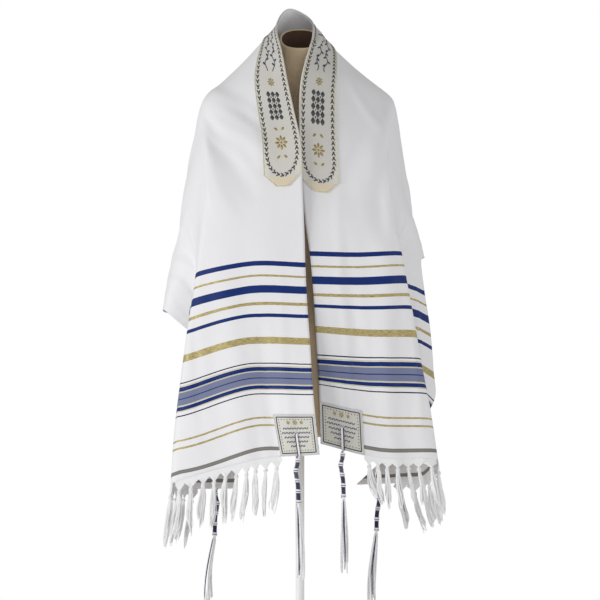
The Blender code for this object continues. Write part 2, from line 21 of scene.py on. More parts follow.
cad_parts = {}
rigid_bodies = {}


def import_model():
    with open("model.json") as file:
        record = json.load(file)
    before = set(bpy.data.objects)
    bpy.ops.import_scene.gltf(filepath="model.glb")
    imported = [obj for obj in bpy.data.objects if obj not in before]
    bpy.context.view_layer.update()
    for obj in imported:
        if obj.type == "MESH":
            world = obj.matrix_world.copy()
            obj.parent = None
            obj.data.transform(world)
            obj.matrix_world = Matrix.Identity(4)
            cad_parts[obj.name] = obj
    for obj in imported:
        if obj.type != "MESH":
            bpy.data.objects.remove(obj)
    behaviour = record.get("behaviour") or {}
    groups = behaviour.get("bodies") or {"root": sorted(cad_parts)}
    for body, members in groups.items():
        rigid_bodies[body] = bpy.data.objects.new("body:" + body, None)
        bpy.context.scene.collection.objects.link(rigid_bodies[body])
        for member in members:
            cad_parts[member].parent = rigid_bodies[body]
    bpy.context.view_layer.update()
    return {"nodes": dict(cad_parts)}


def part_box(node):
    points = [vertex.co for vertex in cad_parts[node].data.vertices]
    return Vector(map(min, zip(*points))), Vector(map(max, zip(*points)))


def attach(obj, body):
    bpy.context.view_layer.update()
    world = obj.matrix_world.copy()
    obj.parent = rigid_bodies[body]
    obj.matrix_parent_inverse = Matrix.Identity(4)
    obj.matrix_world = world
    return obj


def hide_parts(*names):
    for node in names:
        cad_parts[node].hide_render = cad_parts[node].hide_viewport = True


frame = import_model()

bl_info = {
    "name": "Prayer shawl on a dress form",
    "version": (1, 0, 0),
    "blender": (4, 5, 0),
    "location": "3D View > Sidebar > Shawl",
    "description": "Builds a draped, fringed prayer shawl with its neckband, patches, tassels and dress form",
    "category": "Add Mesh",
}

MM = 0.001
# Every piece's UV: metres on it as it lay flat, before it was draped
FLAT = "Flat"
# The tables are measured from the pole's axis, and the frame from the middle of the outline
POLE_LOW, POLE_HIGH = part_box("pole")
STAND_AT = Vector(((POLE_LOW.x + POLE_HIGH.x) / 2, (POLE_LOW.y + POLE_HIGH.y) / 2, 0))

# The flat cloth and what is sewn on it
CLOTH_LENGTH = 1800.0
CLOTH_WIDTH = 550.0
CLOTH_WALL = 1.6
SEAM_GAP = 0.3
SATIN_WALL = 1.2
BAND_WIDTH = 75.0
BAND_START = 528.0
BAND_END = 1299.0
BAND_POINT = 22.0
BAND_TIP = 0.3
PATCH_WIDTH = 90.0
PATCH_LENGTH = 85.0
HOLE_INSET = 45.0

# One row for each cross-section of the draped cloth, from the left fringed end over the neck to the right.
# along: distance from the left end. ridge_at: how far across the cloth the ridge lies. Then places round the
# stand: the neck edge, the ridge (front fold, shoulder line and back crown), the valley behind it, and the
# low edge. bulge and lift move the middle of the front stretch forwards and up, wing moves the middle of the
# last stretch outwards, away from the form.
Section = namedtuple("Section", "along ridge_at neck bulge lift ridge valley wing low")
SECTIONS = (
    (0, 282, (36, -146, 345), -9, 16, (-234, -80, 291), (-222, 30, 276), 14, (-118, 84, 276)),
    (120, 256, (25, -142, 450), -4, 18, (-225, -84, 408), (-214, 44, 390), 16, (-112, 88, 384)),
    (240, 238, (18, -132, 555), 4, 15, (-212, -88, 525), (-198, 36, 502), 14, (-116, 92, 488)),
    (320, 222, (13, -127, 630), 8, 13, (-200, -92, 605), (-190, 22, 578), 12, (-142, 92, 545)),
    (388, 200, (10, -129, 693), 10, 11, (-188, -98, 676), (-190, 8, 642), 10, (-198, 66, 566)),
    (450, 192, (8, -131, 758), 10, 8, (-180, -102, 742), (-196, 0, 702), 12, (-250, 52, 608)),
    (520, 184, (5, -132, 832), 8, 3, (-171, -98, 812), (-210, 8, 748), 14, (-254, 118, 606)),
    (600, 182, (1, -124, 920), 4, 4, (-169, -78, 892), (-220, 28, 796), 10, (-226, 168, 602)),
    (660, 184, (-12, -105, 982), 0, 10, (-174, -44, 950), (-214, 54, 838), 6, (-188, 184, 603)),
    (710, 196, (-23, -84, 1034), 0, 24, (-183, -4, 991), (-198, 80, 862), 8, (-140, 178, 607)),
    (765, 212, (-33, -60, 1088), 2, 36, (-152, 50, 1004), (-148, 108, 850), 4, (-88, 152, 613)),
    (830, 222, (-42, -14, 1136), 10, 42, (-92, 92, 984), (-84, 116, 820), 0, (-46, 132, 620)),
    (900, 222, (-20, 54, 1173), 0, 0, (-6, 108, 966), (-4, 120, 800), 0, (0, 128, 628)),
    (960, 224, (18, 46, 1152), 4, 22, (76, 96, 980), (74, 116, 816), 0, (42, 134, 636)),
    (1030, 222, (23, -14, 1120), 8, 16, (146, 50, 1000), (144, 110, 846), 4, (88, 154, 648)),
    (1090, 204, (9, -64, 1070), 2, 12, (172, -4, 1000), (188, 82, 862), 8, (136, 182, 664)),
    (1140, 188, (0, -86, 1022), 0, 6, (166, -42, 966), (202, 52, 842), 8, (186, 188, 684)),
    (1200, 178, (-2, -110, 938), 2, 4, (163, -72, 904), (203, 28, 812), 6, (218, 160, 700)),
    (1280, 174, (2, -118, 852), 4, 0, (166, -88, 828), (204, 6, 768), 4, (233, 110, 708)),
    (1350, 172, (9, -122, 778), 6, 0, (175, -92, 764), (176, -4, 716), 4, (226, 78, 700)),
    (1412, 174, (18, -122, 714), 6, -2, (187, -92, 714), (156, 0, 668), 8, (234, 84, 641)),
    (1480, 184, (24, -118, 648), 6, -2, (199, -90, 648), (164, 14, 604), 8, (244, 88, 573)),
    (1550, 202, (28, -114, 586), 6, -2, (212, -86, 578), (182, 24, 530), 8, (249, 90, 500)),
    (1610, 216, (31, -112, 536), 6, -4, (222, -84, 520), (200, 28, 472), 8, (250, 92, 440)),
    (1690, 230, (35, -108, 465), 6, -7, (236, -80, 440), (224, 30, 395), 10, (200, 90, 372)),
    (1800, 240, (38, -104, 364), 6, -12, (254, -74, 334), (232, 34, 290), 14, (106, 78, 284)),
)
# How strongly the cross-section keeps its direction through each of its six points: low makes a tight fold
TENSION = (1.0, 1.0, 0.55, 0.75, 1.0, 1.0)
# The left front corner curls forwards: how far that moves the middle of the front stretch, and how far up
CURL_SHIFT = 19.0
CURL_REACH = 388.0
# Folds: two ends of the line on the flat cloth, how wide it is each side, and how far out it stands
FOLDS = (
    (560, 50, 750, 200, 30, 7),
    (500, 90, 715, 202, 26, -6),
    (440, 120, 690, 228, 30, 5),
    (-200, 160, 470, 140, 34, 6),
    (-120, 95, 330, 95, 26, -4),
    (1110, 190, 1300, 100, 28, 6),
    (1150, 182, 1400, 118, 26, -5),
    (1300, 125, 1960, 150, 30, 7),
    (1380, 75, 1900, 92, 24, -5),
    (700, 250, 740, 800, 36, 12),
    (775, 260, 800, 800, 34, -10),
    (860, 240, 870, 800, 36, 9),
    (940, 260, 935, 800, 34, -8),
    (1020, 250, 1005, 800, 36, 10),
    (1085, 270, 1075, 800, 30, -8),
    (600, 280, 560, 780, 30, -7),
    (1200, 280, 1230, 780, 30, -7),
    (100, 330, 600, 420, 30, 6),
    (-150, 400, 400, 440, 30, -5),
    (1280, 400, 1660, 340, 30, 7),
    (1350, 470, 1950, 420, 30, -6),
)
# Soft creases between the folds, on the hidden sides too
CREASES = (
    (640, 60, 735, 188, 13, 2.2),
    (600, 75, 700, 175, 14, -2.0),
    (560, 100, 690, 208, 13, 1.6),
    (470, 140, 640, 202, 16, -2.2),
    (1085, 85, 1190, 176, 14, 2.4),
    (1120, 170, 1260, 80, 14, -2.2),
    (1180, 168, 1380, 140, 16, 2.4),
    (1240, 80, 1560, 40, 14, 1.8),
    (-60, 60, 420, 50, 16, 1.8),
    (-40, 200, 380, 205, 14, -1.8),
    (1420, 40, 1850, 60, 14, -1.8),
    (1500, 190, 1850, 200, 16, 2.0),
    (730, 280, 742, 700, 14, 2.6),
    (790, 290, 800, 700, 13, -2.0),
    (845, 260, 850, 700, 16, 2.4),
    (905, 270, 900, 700, 13, -2.2),
    (960, 260, 958, 700, 16, 2.6),
    (1050, 280, 1042, 700, 14, -2.4),
    (660, 300, 640, 700, 14, 2.0),
    (1150, 300, 1160, 700, 14, 2.0),
    (60, 300, 560, 470, 16, -2.0),
    (-80, 470, 480, 520, 16, 2.2),
    (200, 360, 600, 300, 14, 1.8),
    (1240, 320, 1680, 420, 16, -2.2),
    (1320, 500, 1880, 480, 14, 2.0),
    (1400, 300, 1760, 310, 14, 1.8),
)

# Rings of the dress form's body, bottom to top: half its width, half its depth, how far back its middle is
Ring = namedtuple("Ring", "height half_width half_depth middle")
FORM_RINGS = [Ring(*row) for row in (
    (376, 138, 86, 0),
    (384, 146, 93, 0),
    (425, 152, 98, 0),
    (470, 156, 101, 0),
    (520, 154, 100, 0),
    (580, 146, 96, 0),
    (640, 124, 84, 0),
    (700, 122, 84, 0),
    (760, 130, 94, -4),
    (820, 140, 104, -8),
    (870, 145, 100, -4),
    (920, 152, 92, 4),
    (955, 158, 80, 8),
    (974, 160, 66, 8),
    (986, 152, 56, 8),
    (1002, 122, 50, 6),
    (1018, 84, 46, 4),
    (1034, 54, 43, 2),
    (1054, 43, 39, 0),
    (1076, 38, 36, 0),
)]
FORM_LOW, FORM_TOP = FORM_RINGS[0], FORM_RINGS[-1]
FORM_SQUARENESS = 2.3
CLOTH_CLEARANCE = 3.6
# The cloth is cleared in small steps, each a share of the depth that is left
CLEARING_STEPS = 12
CLEARING_SHARE = 0.7
CLEARING_EXCESS = 0.2
NECK_RIM_FRONT = 1094.0
NECK_RIM_BACK = 1134.0
NECK_WALL = 4.0
RIM_ROOM = 5.0
NECK_HOLLOW_DEPTH = 70.0
POLE_DIAMETER = 16.0
BASE_DIAMETER = 320.0
BASE_THICKNESS = 12.0

# Woven stripes: the middle's distance from the fringed end, the width, and the thread
STRIPES = (
    (388.5, 9, "blue"),
    (365, 4, "gold"),
    (338.5, 15, "blue"),
    (310, 6, "gold"),
    (287, 7, "blue"),
    (237.5, 14, "gold"),
    (190, 2.4, "dark"),
    (184, 1.6, "pale_gold"),
    (178, 8.5, "blue"),
    (172.6, 1.6, "pale_gold"),
    (159, 25, "hatched"),
    (159, 2, "blue"),
    (145.4, 1.6, "pale_gold"),
    (140, 7.5, "blue"),
    (135, 1.6, "pale_gold"),
    (126, 2.4, "dark"),
    (78, 3.6, "gold"),
    (63, 3.8, "gold"),
    (19.0, 2.6, "grey"),
    (16.6, 2.6, "pale_grey"),
    (14.2, 2.6, "grey"),
)

# Near the left end the picks bow a little: how far, where across the bow's middle lies, its wave's length,
# and how far along the cloth it fades out
BOW = 3.5
BOW_MIDDLE = 175.0
BOW_WAVE = 160.0
BOW_REACH = 330.0

# At the right end the hatched group sags towards the hem beside the front edge: how far at the edge, the
# middle and half the length of the stretch it touches, and how far across it fades out
SAG = 11.0
SAG_MIDDLE = 159.0
SAG_REACH = 80.0
SAG_WIDTH = 130.0

# Columns of the CAD cloth, between which the tassels of the fringe are spread
NECK_COLUMNS = (0, 20, 38, 56, BAND_WIDTH, PATCH_WIDTH)
FOLD_RADIUS = 9.0
FRONT_COLUMNS = 4
BACK_COLUMNS = 7
LOW_COLUMNS = (PATCH_WIDTH, 60, 30, 0)
FRINGE_PITCH = 20.0
FRINGE_LENGTHS = {"left": 98.0, "right": 84.0}
FRINGE_SWAY = 6.0
FRINGE_FLARE = 0.05
FRINGE_SEED = 7
# The loose warp hangs straight this far below the hem before it is gathered
SELVEDGE = 7.0
# The shortest and the longest strand, as a share of the usual length
UNEVEN = (0.88, 1.08)
STRIP_HEIGHT = 5.0
# Stations of a fringe tassel: how far down, and what share of the spread its strands lie from its middle
TASSEL_STATIONS = (
    (0.13, 0.34), (0.17, 0.26), (0.22, 0.34), (0.3, 0.6), (0.42, 0.85),
    (0.58, 1.0), (0.75, 1.0), (0.9, 0.86), (1.0, 0.62),
)
KNOT_AT = 0.17

# Corner tassels: where the knots of the wound stretch lie, as shares of its length, and how far it swings
CORD_RADIUS = 1.5
CORD_ROOM = 0.8
WOUND_LENGTH = 82.0
WOUND_BELOW = 6.0
WOUND_STANDS_OUT = 7.0
WOUND_KNOTS = (0.03, 0.25, 0.48, 0.72, 0.96)
WOUND_SWING = ((0.0, 0), (0.1, -1), (0.26, -4), (0.37, -3), (0.6, 0), (0.91, 1), (1.0, 1))
STRAND_LENGTH = 130.0
STRAND_SPREAD = 5.0
STRANDS = 8
# How far aside the tips of each corner tassel's loose ends hang
LEANS = {"left_front": 5.0, "left_back": -14.0, "right_front": 1.0, "right_back": -9.0}

# Soft unevenness: how far apart on the flat cloth the folds change their way and their height, how strongly
# the folds and the creases do so, and the size of the slow rumples
WANDER_LENGTH = 85.0
SWELL_LENGTH = 60.0
FOLD_UNEVENNESS = 0.18
CREASE_UNEVENNESS = 0.45
RUMPLE_LENGTH = 150.0
RUMPLE_WIDTH = 60.0
# How far the woven picks wander, either way
PICK_WANDER = 0.25
SATIN_GLOSS = {"Roughness": 0.42, "Anisotropic": 0.5, "Sheen Weight": 0.15}
# The satin's and the corner tassel cords' heights over the middle of the cloth's wall
SATIN_LIFT = CLOTH_WALL / 2 + SEAM_GAP
CORD_LIFT = SATIN_LIFT + SATIN_WALL + CORD_ROOM + CORD_RADIUS

# Needlework: the numbers of its threads, and the layout of the neckband's border, lattice and winding stems
SLATE, GOLD, INDIGO = 0, 1, 2
BORDER_INSET = 8.0
BORDER_PITCH = 8.6
ARCH_START = 19.0
ARCH_DEPTH = 36.0
CHEVRON_SLANT = 0.6
# Places on the band, from each tip: two rosettes with their radii and centres, leaves with their turns, the
# lattice of lozenges and the dots in it
ROSETTES = ((74, 13, GOLD), (176, 8, SLATE))
GOLD_LEAVES = ((98, 0.9), (50, -0.9))
LATTICE_START = 118.0
LATTICE_PITCH = 9.5
DOTS_START = 122.7
VINE_START = 196.0
VINE_SWING = 3.6
VINE_WAVE = 34.0
# The patches: how far the satin, the frame, the dots and the corded edge stay inside the outline, the counts
# and spacings of the leaves in their rows, the rosettes' offsets and radii, and the ring round the eyelet
PATCH_ROOM = 0.4
FRAME_INSET = 6.0
DOTS_INSET = 11.0
EDGE_INSET = 0.9
EDGE_RADIUS = 0.8
LEAF_COUNTS = (15, 17, 15, 13, 9)
LEAF_ROWS_FROM = 29.0
LEAF_ROW_PITCH = 9.0
LEAF_PITCH = 3.7
PATCH_ROSETTES = ((0, 5.6), (-14, 4.0), (14, 4.0))
PATCH_ROSETTES_FROM = 17.0
EYELET_RADIUS = 3.4
# Each corner of the cloth: its name, where its patch starts on the flat cloth, and its eyelet
CORNERS = [
    (f"{end}_{side}", along, across, (hole_along, hole_across))
    for end, along, hole_along in (
        ("left", 0.0, HOLE_INSET), ("right", CLOTH_LENGTH - PATCH_LENGTH, CLOTH_LENGTH - HOLE_INSET)
    )
    for side, across, hole_across in (
        ("front", 0.0, HOLE_INSET), ("back", CLOTH_WIDTH - PATCH_WIDTH, CLOTH_WIDTH - HOLE_INSET)
    )
]

# Where a fringe tassel starts, the width of hem that it gathers, and which way it leans
Root = namedtuple("Root", "edge across reach middle out lean")
LOOSE_SEED = FRINGE_SEED + 50
# How far up in the cloth each strand starts, and where the hem's direction is taken from
ROOTED = 9.0
HEM_REACH = 27.0
# Ranges that the tassels and their strands are thrown from: spread, swing, curl, length, waviness and phase
SPREADS = (3.8, 7.4)
SWINGS = (-9, 9)
CURLS = (1.5, 5.0)
LENGTHS = (0.8, 1.04)
WAVES = (0.6, 2.2)
PHASES = (0, 6.28)
# Half of what a knot of the wound stretch takes up, and the turns that make it: start, end, turns, reach,
# thickness and cord
KNOT_HALF = 0.04
CORE_RADIUS = 2.8
WINDING_REACH = 3.3
# Each corner tassel's cords over the patch: how far aside, and which cord
CORDS = ((-1.5, 0), (0.5, 0), (2.9, 1))
LOOSE_STEPS = 14
KNOT_TURNS = ((-0.036, -0.002, 2, 3.7, 1.3, 0), (0.016, 0.036, 1, 3.7, 1.3, 0), (0.0, 0.014, 1, 3.8, 1.0, 1))

# The softboxes: place, size and the setting of their power. They face the middle of the shawl
LIGHTS = (
    ("key", (-2.7, -1.7, 0.4), 1.6), ("fill", (2.8, -1.3, 0.4), 1.6), ("low", (0.3, -2.2, -0.6), 1.2),
)
LIGHTS_FACE = Vector((0, 0, 0.6))
# How far back the front of the shawl lies, where the picture's width is measured
PICTURE_DEPTH = -0.075
UP = Vector((0, 0, 1))


def linear(hex_colour):
    """The linear value of an sRGB colour written as six hex digits."""
    shares = [int(hex_colour[place:place + 2], 16) / 255 for place in (0, 2, 4)]
    return [share / 12.92 if share <= 0.04045 else ((share + 0.055) / 1.055) ** 2.4 for share in shares]


def colour_of(name, description, hex_colour):
    return FloatVectorProperty(
        name=name, description=description, subtype="COLOR", size=3, min=0, max=1, default=linear(hex_colour)
    )


def length_of(name, description, default):
    return FloatProperty(
        name=name, description=description, unit="LENGTH", default=default, min=0.0, precision=4
    )


def number_of(name, description, default):
    return FloatProperty(name=name, description=description, default=default, min=0.0)


class ShawlCloth(bpy.types.PropertyGroup):
    wall: length_of("Cloth wall", "Thickness of the cloth", 1.2 * MM)
    row_spacing: length_of("Row spacing", "Distance between rows of points along the cloth", 6.0 * MM)
    column_spacing: length_of("Column spacing", "Distance between points across the cloth", 5.0 * MM)
    crease_depth: number_of("Crease depth", "Scale of the soft creases", 1.0)
    rumple: length_of("Rumple", "How far slow unevenness lifts the cloth", 1.5 * MM)
    white: colour_of("White", "White cotton thread", "F1F0F2")
    blue: colour_of("Blue", "Royal blue stripe thread", "0B2A6F")
    dark: colour_of("Dark", "Thin dark stripe thread", "2B2F45")
    pale_blue: colour_of("Pale blue", "Thread of the hatched stripe", "6A7396")
    gold: colour_of("Gold", "Metallic gold stripe thread", "C8B988")
    # Painted shade of the gold stripes: their colour runs from this to Gold in short painted glints
    gold_painted_shade: colour_of("Gold shade", "Darker picks in the gold stripes", "9C8D58")
    pale_gold: colour_of("Pale gold", "Thin lines beside the blue stripes", "CDC597")
    grey: colour_of("Grey", "Thread of the band at the hem", "807E78")
    pale_grey: colour_of("Pale grey", "Middle of the grey band", "888680")


class ShawlSatin(bpy.types.PropertyGroup):
    wall: length_of("Satin wall", "Thickness of the satin pieces", 0.9 * MM)
    piping: length_of("Piping", "Radius of the corded edge", 1.0 * MM)
    thread_height: length_of("Thread height", "How far the needlework stands up", 0.35 * MM)
    field: colour_of("Field", "Silvery middle of the neckband", "DCD9D2")
    edge: colour_of("Edge", "Cream edge of the neckband", "E4E1D3")
    point: colour_of("Point", "Warm plain point of the neckband", "E6D9BC")
    patch: colour_of("Patch", "Cream-grey satin of the patches", "D5D3C8")
    binding: colour_of("Binding", "Pale binding round the patches", "DADBDA")
    slate: colour_of("Slate", "Dark grey thread", "4A4A50")
    indigo: colour_of("Indigo", "Blue thread on the patches", "3A3C78")
    gold: colour_of("Gold", "Gold thread", "B9A35C")


class ShawlFringe(bpy.types.PropertyGroup):
    strands: IntProperty(name="Strands", description="In each tassel of the fringe", default=20, min=3)
    strand: length_of("Strand", "Radius of one strand", 1.3 * MM)
    knot: length_of("Knot", "Radius of the yarn in a knot", 1.4 * MM)
    yarn: colour_of("Yarn", "White fringe yarn", "F8F8F9")


class ShawlTassels(bpy.types.PropertyGroup):
    cord: length_of("Cord", "Radius of one cord", 1.15 * MM)
    loose_end: length_of("Loose end", "Radius of one loose end, which is untwisted", 1.8 * MM)
    winding: length_of("Winding", "Radius of the winding thread", 1.1 * MM)
    white: colour_of("White", "White tassel cord", "F8F8FA")
    blue: colour_of("Blue", "Dark blue tassel cord", "16164F")


class ShawlForm(bpy.types.PropertyGroup):
    sides: IntProperty(name="Sides", description="Points round the dress form", default=96, min=12)
    ring_step: length_of("Ring step", "Height between rings of the dress form", 8.0 * MM)
    cover: colour_of("Cover", "Beige jersey cover", "E2CBA8")
    # The inside of the neck is coloured dark brown as painted shade, for the shadow in the hollow
    hollow_painted_shade: colour_of("Lining", "Dark inside of the neck", "5C4433")
    paint: colour_of("Paint", "White powder coat of the pole and base", "F6F6F6")


class ShawlStage(bpy.types.PropertyGroup):
    floor_radius: length_of("Floor radius", "Radius of the pale floor", 0.58)
    camera_distance: length_of("Camera distance", "From the camera to the front of the shawl", 12.0)
    frame_width: length_of("Frame width", "Width of the picture at the front of the shawl", 1.11)
    frame_middle: length_of("Frame middle", "Height of the middle of the picture", 0.629)
    key_power: number_of("Key power", "Power of the left light, in watts", 55.0)
    fill_power: number_of("Fill power", "Power of the right light, in watts", 23.0)
    low_power: number_of("Low power", "Power of the low front light, in watts", 6.0)
    sky_strength: number_of("Sky strength", "Even light from all round", 0.42)
    floor: colour_of("Floor", "Pale floor", "F4F4F4")


def curve(knots, values, tensions=None):
    """The smooth curve through values at rising knots, as a function. A low tension bends it sharply."""
    last = len(knots) - 1
    slopes = []
    for i in range(last + 1):
        before, after = max(i - 1, 0), min(i + 1, last)
        slope = (values[after] - values[before]) / (knots[after] - knots[before])
        slopes.append(slope * (tensions[i] if tensions else 1.0))

    def value_at(at):
        cell = 0
        while cell < last - 1 and at > knots[cell + 1]:
            cell += 1
        span = knots[cell + 1] - knots[cell]
        t = (at - knots[cell]) / span
        step = values[cell + 1] - values[cell]
        bend_in = slopes[cell] * span - step
        bend_out = slopes[cell + 1] * span - step
        return values[cell] + step * t + (bend_in * (1 - t) - bend_out * t) * t * (1 - t)

    return value_at


def tracks(rows):
    """A curve for each column of a table whose first column rises."""
    columns = list(zip(*rows))
    for i, column in enumerate(columns):
        if isinstance(column[0], tuple):
            columns[i] = [Vector(place) for place in column]
    return [curve(columns[0], column) for column in columns]


SECTION_TRACKS = tracks(SECTIONS)[1:]
RING_TRACKS = tracks(FORM_RINGS)
SWING_TRACK = tracks(WOUND_SWING)[1]


def section_at(along):
    """The row of SECTIONS for any distance along the cloth, blended from its neighbours."""
    return Section(along, *(track(along) for track in SECTION_TRACKS))


def section_curve(section):
    """A function from a distance across the cloth to the point of this cross-section."""
    curl = CURL_SHIFT * max(0.0, 1 - section.along / CURL_REACH) ** 2
    front_middle = (section.neck + section.ridge) / 2 + Vector((curl, -section.bulge, section.lift))
    back_middle = (section.valley + section.low) / 2
    back_middle += Vector((back_middle.x, back_middle.y, 0)).normalized() * section.wing
    points = [section.neck, front_middle, section.ridge, section.valley, back_middle, section.low]
    runs = [(points[i + 1] - points[i]).length for i in (2, 3, 4)]
    stretch = (CLOTH_WIDTH - section.ridge_at) / sum(runs)
    knots = [0, section.ridge_at / 2, section.ridge_at]
    for run in runs:
        knots.append(knots[-1] + run * stretch)
    return curve(knots, points, TENSION)


@lru_cache(maxsize=None)
def ring_at(height):
    """The dress form's ring at a whole number of millimetres above the floor."""
    inside = min(max(height, FORM_LOW.height), FORM_TOP.height)
    return Ring(*(track(inside) for track in RING_TRACKS))


def rim_height(depth):
    """Height of the neck's slanted rim at one distance back."""
    half = FORM_TOP.half_depth
    return NECK_RIM_FRONT + (NECK_RIM_BACK - NECK_RIM_FRONT) * (depth + half) / (2 * half)


def depth_in_form(point):
    """About how far inside the dress form a point lies, in millimetres: negative outside."""
    above = point.z - rim_height(point.y) - RIM_ROOM
    if above > 0:
        return -above
    ring = ring_at(round(point.z))
    power = FORM_SQUARENESS
    reach = abs(point.x / ring.half_width) ** power + abs((point.y - ring.middle) / ring.half_depth) ** power
    return (1 - reach ** (1 / power)) * ring.half_depth


def clear_of_form(point):
    """The point, moved straight out of the dress form until it is clear of it."""
    moved = point.copy()
    for _ in range(CLEARING_STEPS):
        depth = depth_in_form(moved)
        if depth < -CLOTH_CLEARANCE:
            return moved
        slope = Vector()
        for axis in range(3):
            step = Vector()
            step[axis] = 1
            slope[axis] = depth_in_form(moved + step) - depth_in_form(moved - step)
        moved -= slope.normalized() * (depth + CLOTH_CLEARANCE + CLEARING_EXCESS) * CLEARING_SHARE
    return moved


def fold_height(folds, along, across, unevenness):
    """How far some folds lift the cloth at one place. Unevenness makes them wander and swell."""
    place = Vector((along, across, 0))
    wander = noise.noise(place / WANDER_LENGTH) * unevenness
    swell = 1 + noise.noise(place / SWELL_LENGTH + Vector((7, 3, 1))) * unevenness
    height = 0.0
    for from_along, from_across, to_along, to_across, width, rise in folds:
        run_x, run_y = to_along - from_along, to_across - from_across
        x, y = along - from_along, across - from_across
        squared = run_x * run_x + run_y * run_y
        share = (x * run_x + y * run_y) / squared
        aside = abs((x * run_y - y * run_x) / sqrt(squared) + wander * width)
        if 0 < share < 1 and aside < width:
            height += rise * swell * cos(aside / width * pi / 2) ** 2 * sin(share * pi)
    return height


def difference(points, i):
    return points[min(i + 1, len(points) - 1)] - points[max(i - 1, 0)]


def outward_of(net):
    """The outward direction at each point of a net of rows and columns."""
    columns = list(zip(*net))
    return [
        [difference(columns[j], i).cross(difference(row, j)).normalized() for j in range(len(row))]
        for i, row in enumerate(net)
    ]


def cell_at(place, count):
    """The cell of a row of cells that a place lies in, and how far through it."""
    low = min(max(int(place), 0), count - 1)
    return low, place - low


class Drape:
    """The hanging cloth as a fine net of points, each with its outward direction."""

    def __init__(self, row_spacing, column_spacing, crease_depth, rumple):
        self.rows = round(CLOTH_LENGTH / row_spacing)
        self.columns = round(CLOTH_WIDTH / column_spacing)
        alongs = [CLOTH_LENGTH * i / self.rows for i in range(self.rows + 1)]
        acrosses = [CLOTH_WIDTH * j / self.columns for j in range(self.columns + 1)]
        net = []
        for along in alongs:
            point_at = section_curve(section_at(along))
            net.append([point_at(across) for across in acrosses])
        out = outward_of(net)
        for i, along in enumerate(alongs):
            for j, across in enumerate(acrosses):
                height = fold_height(FOLDS, along, across, FOLD_UNEVENNESS)
                height += fold_height(CREASES, along, across, CREASE_UNEVENNESS) * crease_depth
                slow = Vector((along / RUMPLE_LENGTH, across / RUMPLE_WIDTH, 0))
                height += (noise.noise(slow) + 0.3 * noise.noise(slow * 2.7)) * rumple
                net[i][j] = clear_of_form(net[i][j] + out[i][j] * height)
        self.net = net
        self.out = outward_of(net)

    def at(self, along, across, height=0.0):
        """The point that lies over one place of the flat cloth, this far out of the middle of its wall."""
        i, x = cell_at(along * self.rows / CLOTH_LENGTH, self.rows)
        j, y = cell_at(across * self.columns / CLOTH_WIDTH, self.columns)
        point, out = Vector(), Vector()
        for row, share in ((i, 1 - x), (i + 1, x)):
            for column, weight in ((j, (1 - y) * share), (j + 1, y * share)):
                point += self.net[row][column] * weight
                out += self.out[row][column] * weight
        return point + out.normalized() * height


@lru_cache(maxsize=None)
def draped(row_spacing, column_spacing, crease_depth, rumple):
    return Drape(row_spacing / MM, column_spacing / MM, crease_depth, rumple / MM)


def hanging_cloth():
    """The net that every sewn piece is laid on, worked out once for the settings."""
    cloth = bpy.context.scene.shawl_cloth
    return draped(cloth.row_spacing, cloth.column_spacing, cloth.crease_depth, cloth.rumple)


def in_frame(point):
    return point * MM + STAND_AT


def finished(name, bm, materials, node=None, wall=0.0, offset=1.0):
    """Makes an object of the bmesh, gives it a wall, and ties it to the frame in place of its CAD node."""
    mesh = bpy.data.meshes.new(name)
    bm.to_mesh(mesh)
    bm.free()
    if mesh.uv_layers:
        mesh.uv_layers[0].name = FLAT
    mesh.shade_smooth()
    mesh.set_sharp_from_angle(angle=radians(60))
    for material in materials:
        mesh.materials.append(material)
    obj = bpy.data.objects.new(name, mesh)
    bpy.context.scene.collection.objects.link(obj)
    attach(obj, "root")
    if node:
        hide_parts(node)
    if wall:
        solid = obj.modifiers.new("Wall", "SOLIDIFY")
        solid.thickness = wall
        solid.offset = offset


def flat_grid(bm, rows, columns, place, uv, thread=0):
    """Adds a grid whose points are put by place(x, y), with x and y from 0 to 1, and whose UV is uv(x, y)."""
    layer = bm.loops.layers.uv.verify()
    made = bmesh.ops.create_grid(bm, x_segments=rows, y_segments=columns, size=0.5)["verts"]
    shares = {vertex: (vertex.co.x + 0.5, vertex.co.y + 0.5) for vertex in made}
    for face in {face for vertex in made for face in vertex.link_faces}:
        face.material_index = thread
        for loop in face.loops:
            loop[layer].uv = uv(*shares[loop.vert])
    for vertex, share in shares.items():
        vertex.co = place(*share)


def rolled(bm, rings, measures, girth, thread=0):
    """Adds a grid rolled through rings of points. Its UV is metres along by the measures, and girth round."""
    last, sides = len(rings) - 1, len(rings[0])
    flat_grid(
        bm, last, sides,
        lambda x, y: rings[round(x * last)][round(y * sides) % sides],
        lambda x, y: (measures[round(x * last)] * MM, y * girth),
        thread,
    )


def tube(bm, centres, radii, sides, thread=0):
    """Adds a tube of yarn through some points, with one radius or one for each point."""
    if not isinstance(radii, list):
        radii = [radii] * len(centres)
    turns = [tau * (k + 0.5) / sides for k in range(sides)]
    side = Vector((1, 0, 0))
    rings, run = [], [0.0]
    for i, centre in enumerate(centres):
        ahead = difference(centres, i).normalized()
        side = (side - ahead * side.dot(ahead)).normalized()
        front = ahead.cross(side)
        rings.append([centre + (side * cos(turn) + front * sin(turn)) * radii[i] for turn in turns])
        if i:
            run.append(run[-1] + (centre - centres[i - 1]).length)
    rolled(bm, rings, run, 1.0, thread)


def wind(bm, route, axes, turns, steps, reach, radius, thread=0):
    """Winds yarn round the line from route(0) to route(1), reaching this far along each of two axes."""
    centres = []
    for k in range(steps + 1):
        turn = tau * turns * k / steps
        around = axes[0] * cos(turn) * reach[0] + axes[1] * sin(turn) * reach[1]
        centres.append(route(k / steps) + around)
    tube(bm, centres, radius, 5, thread)


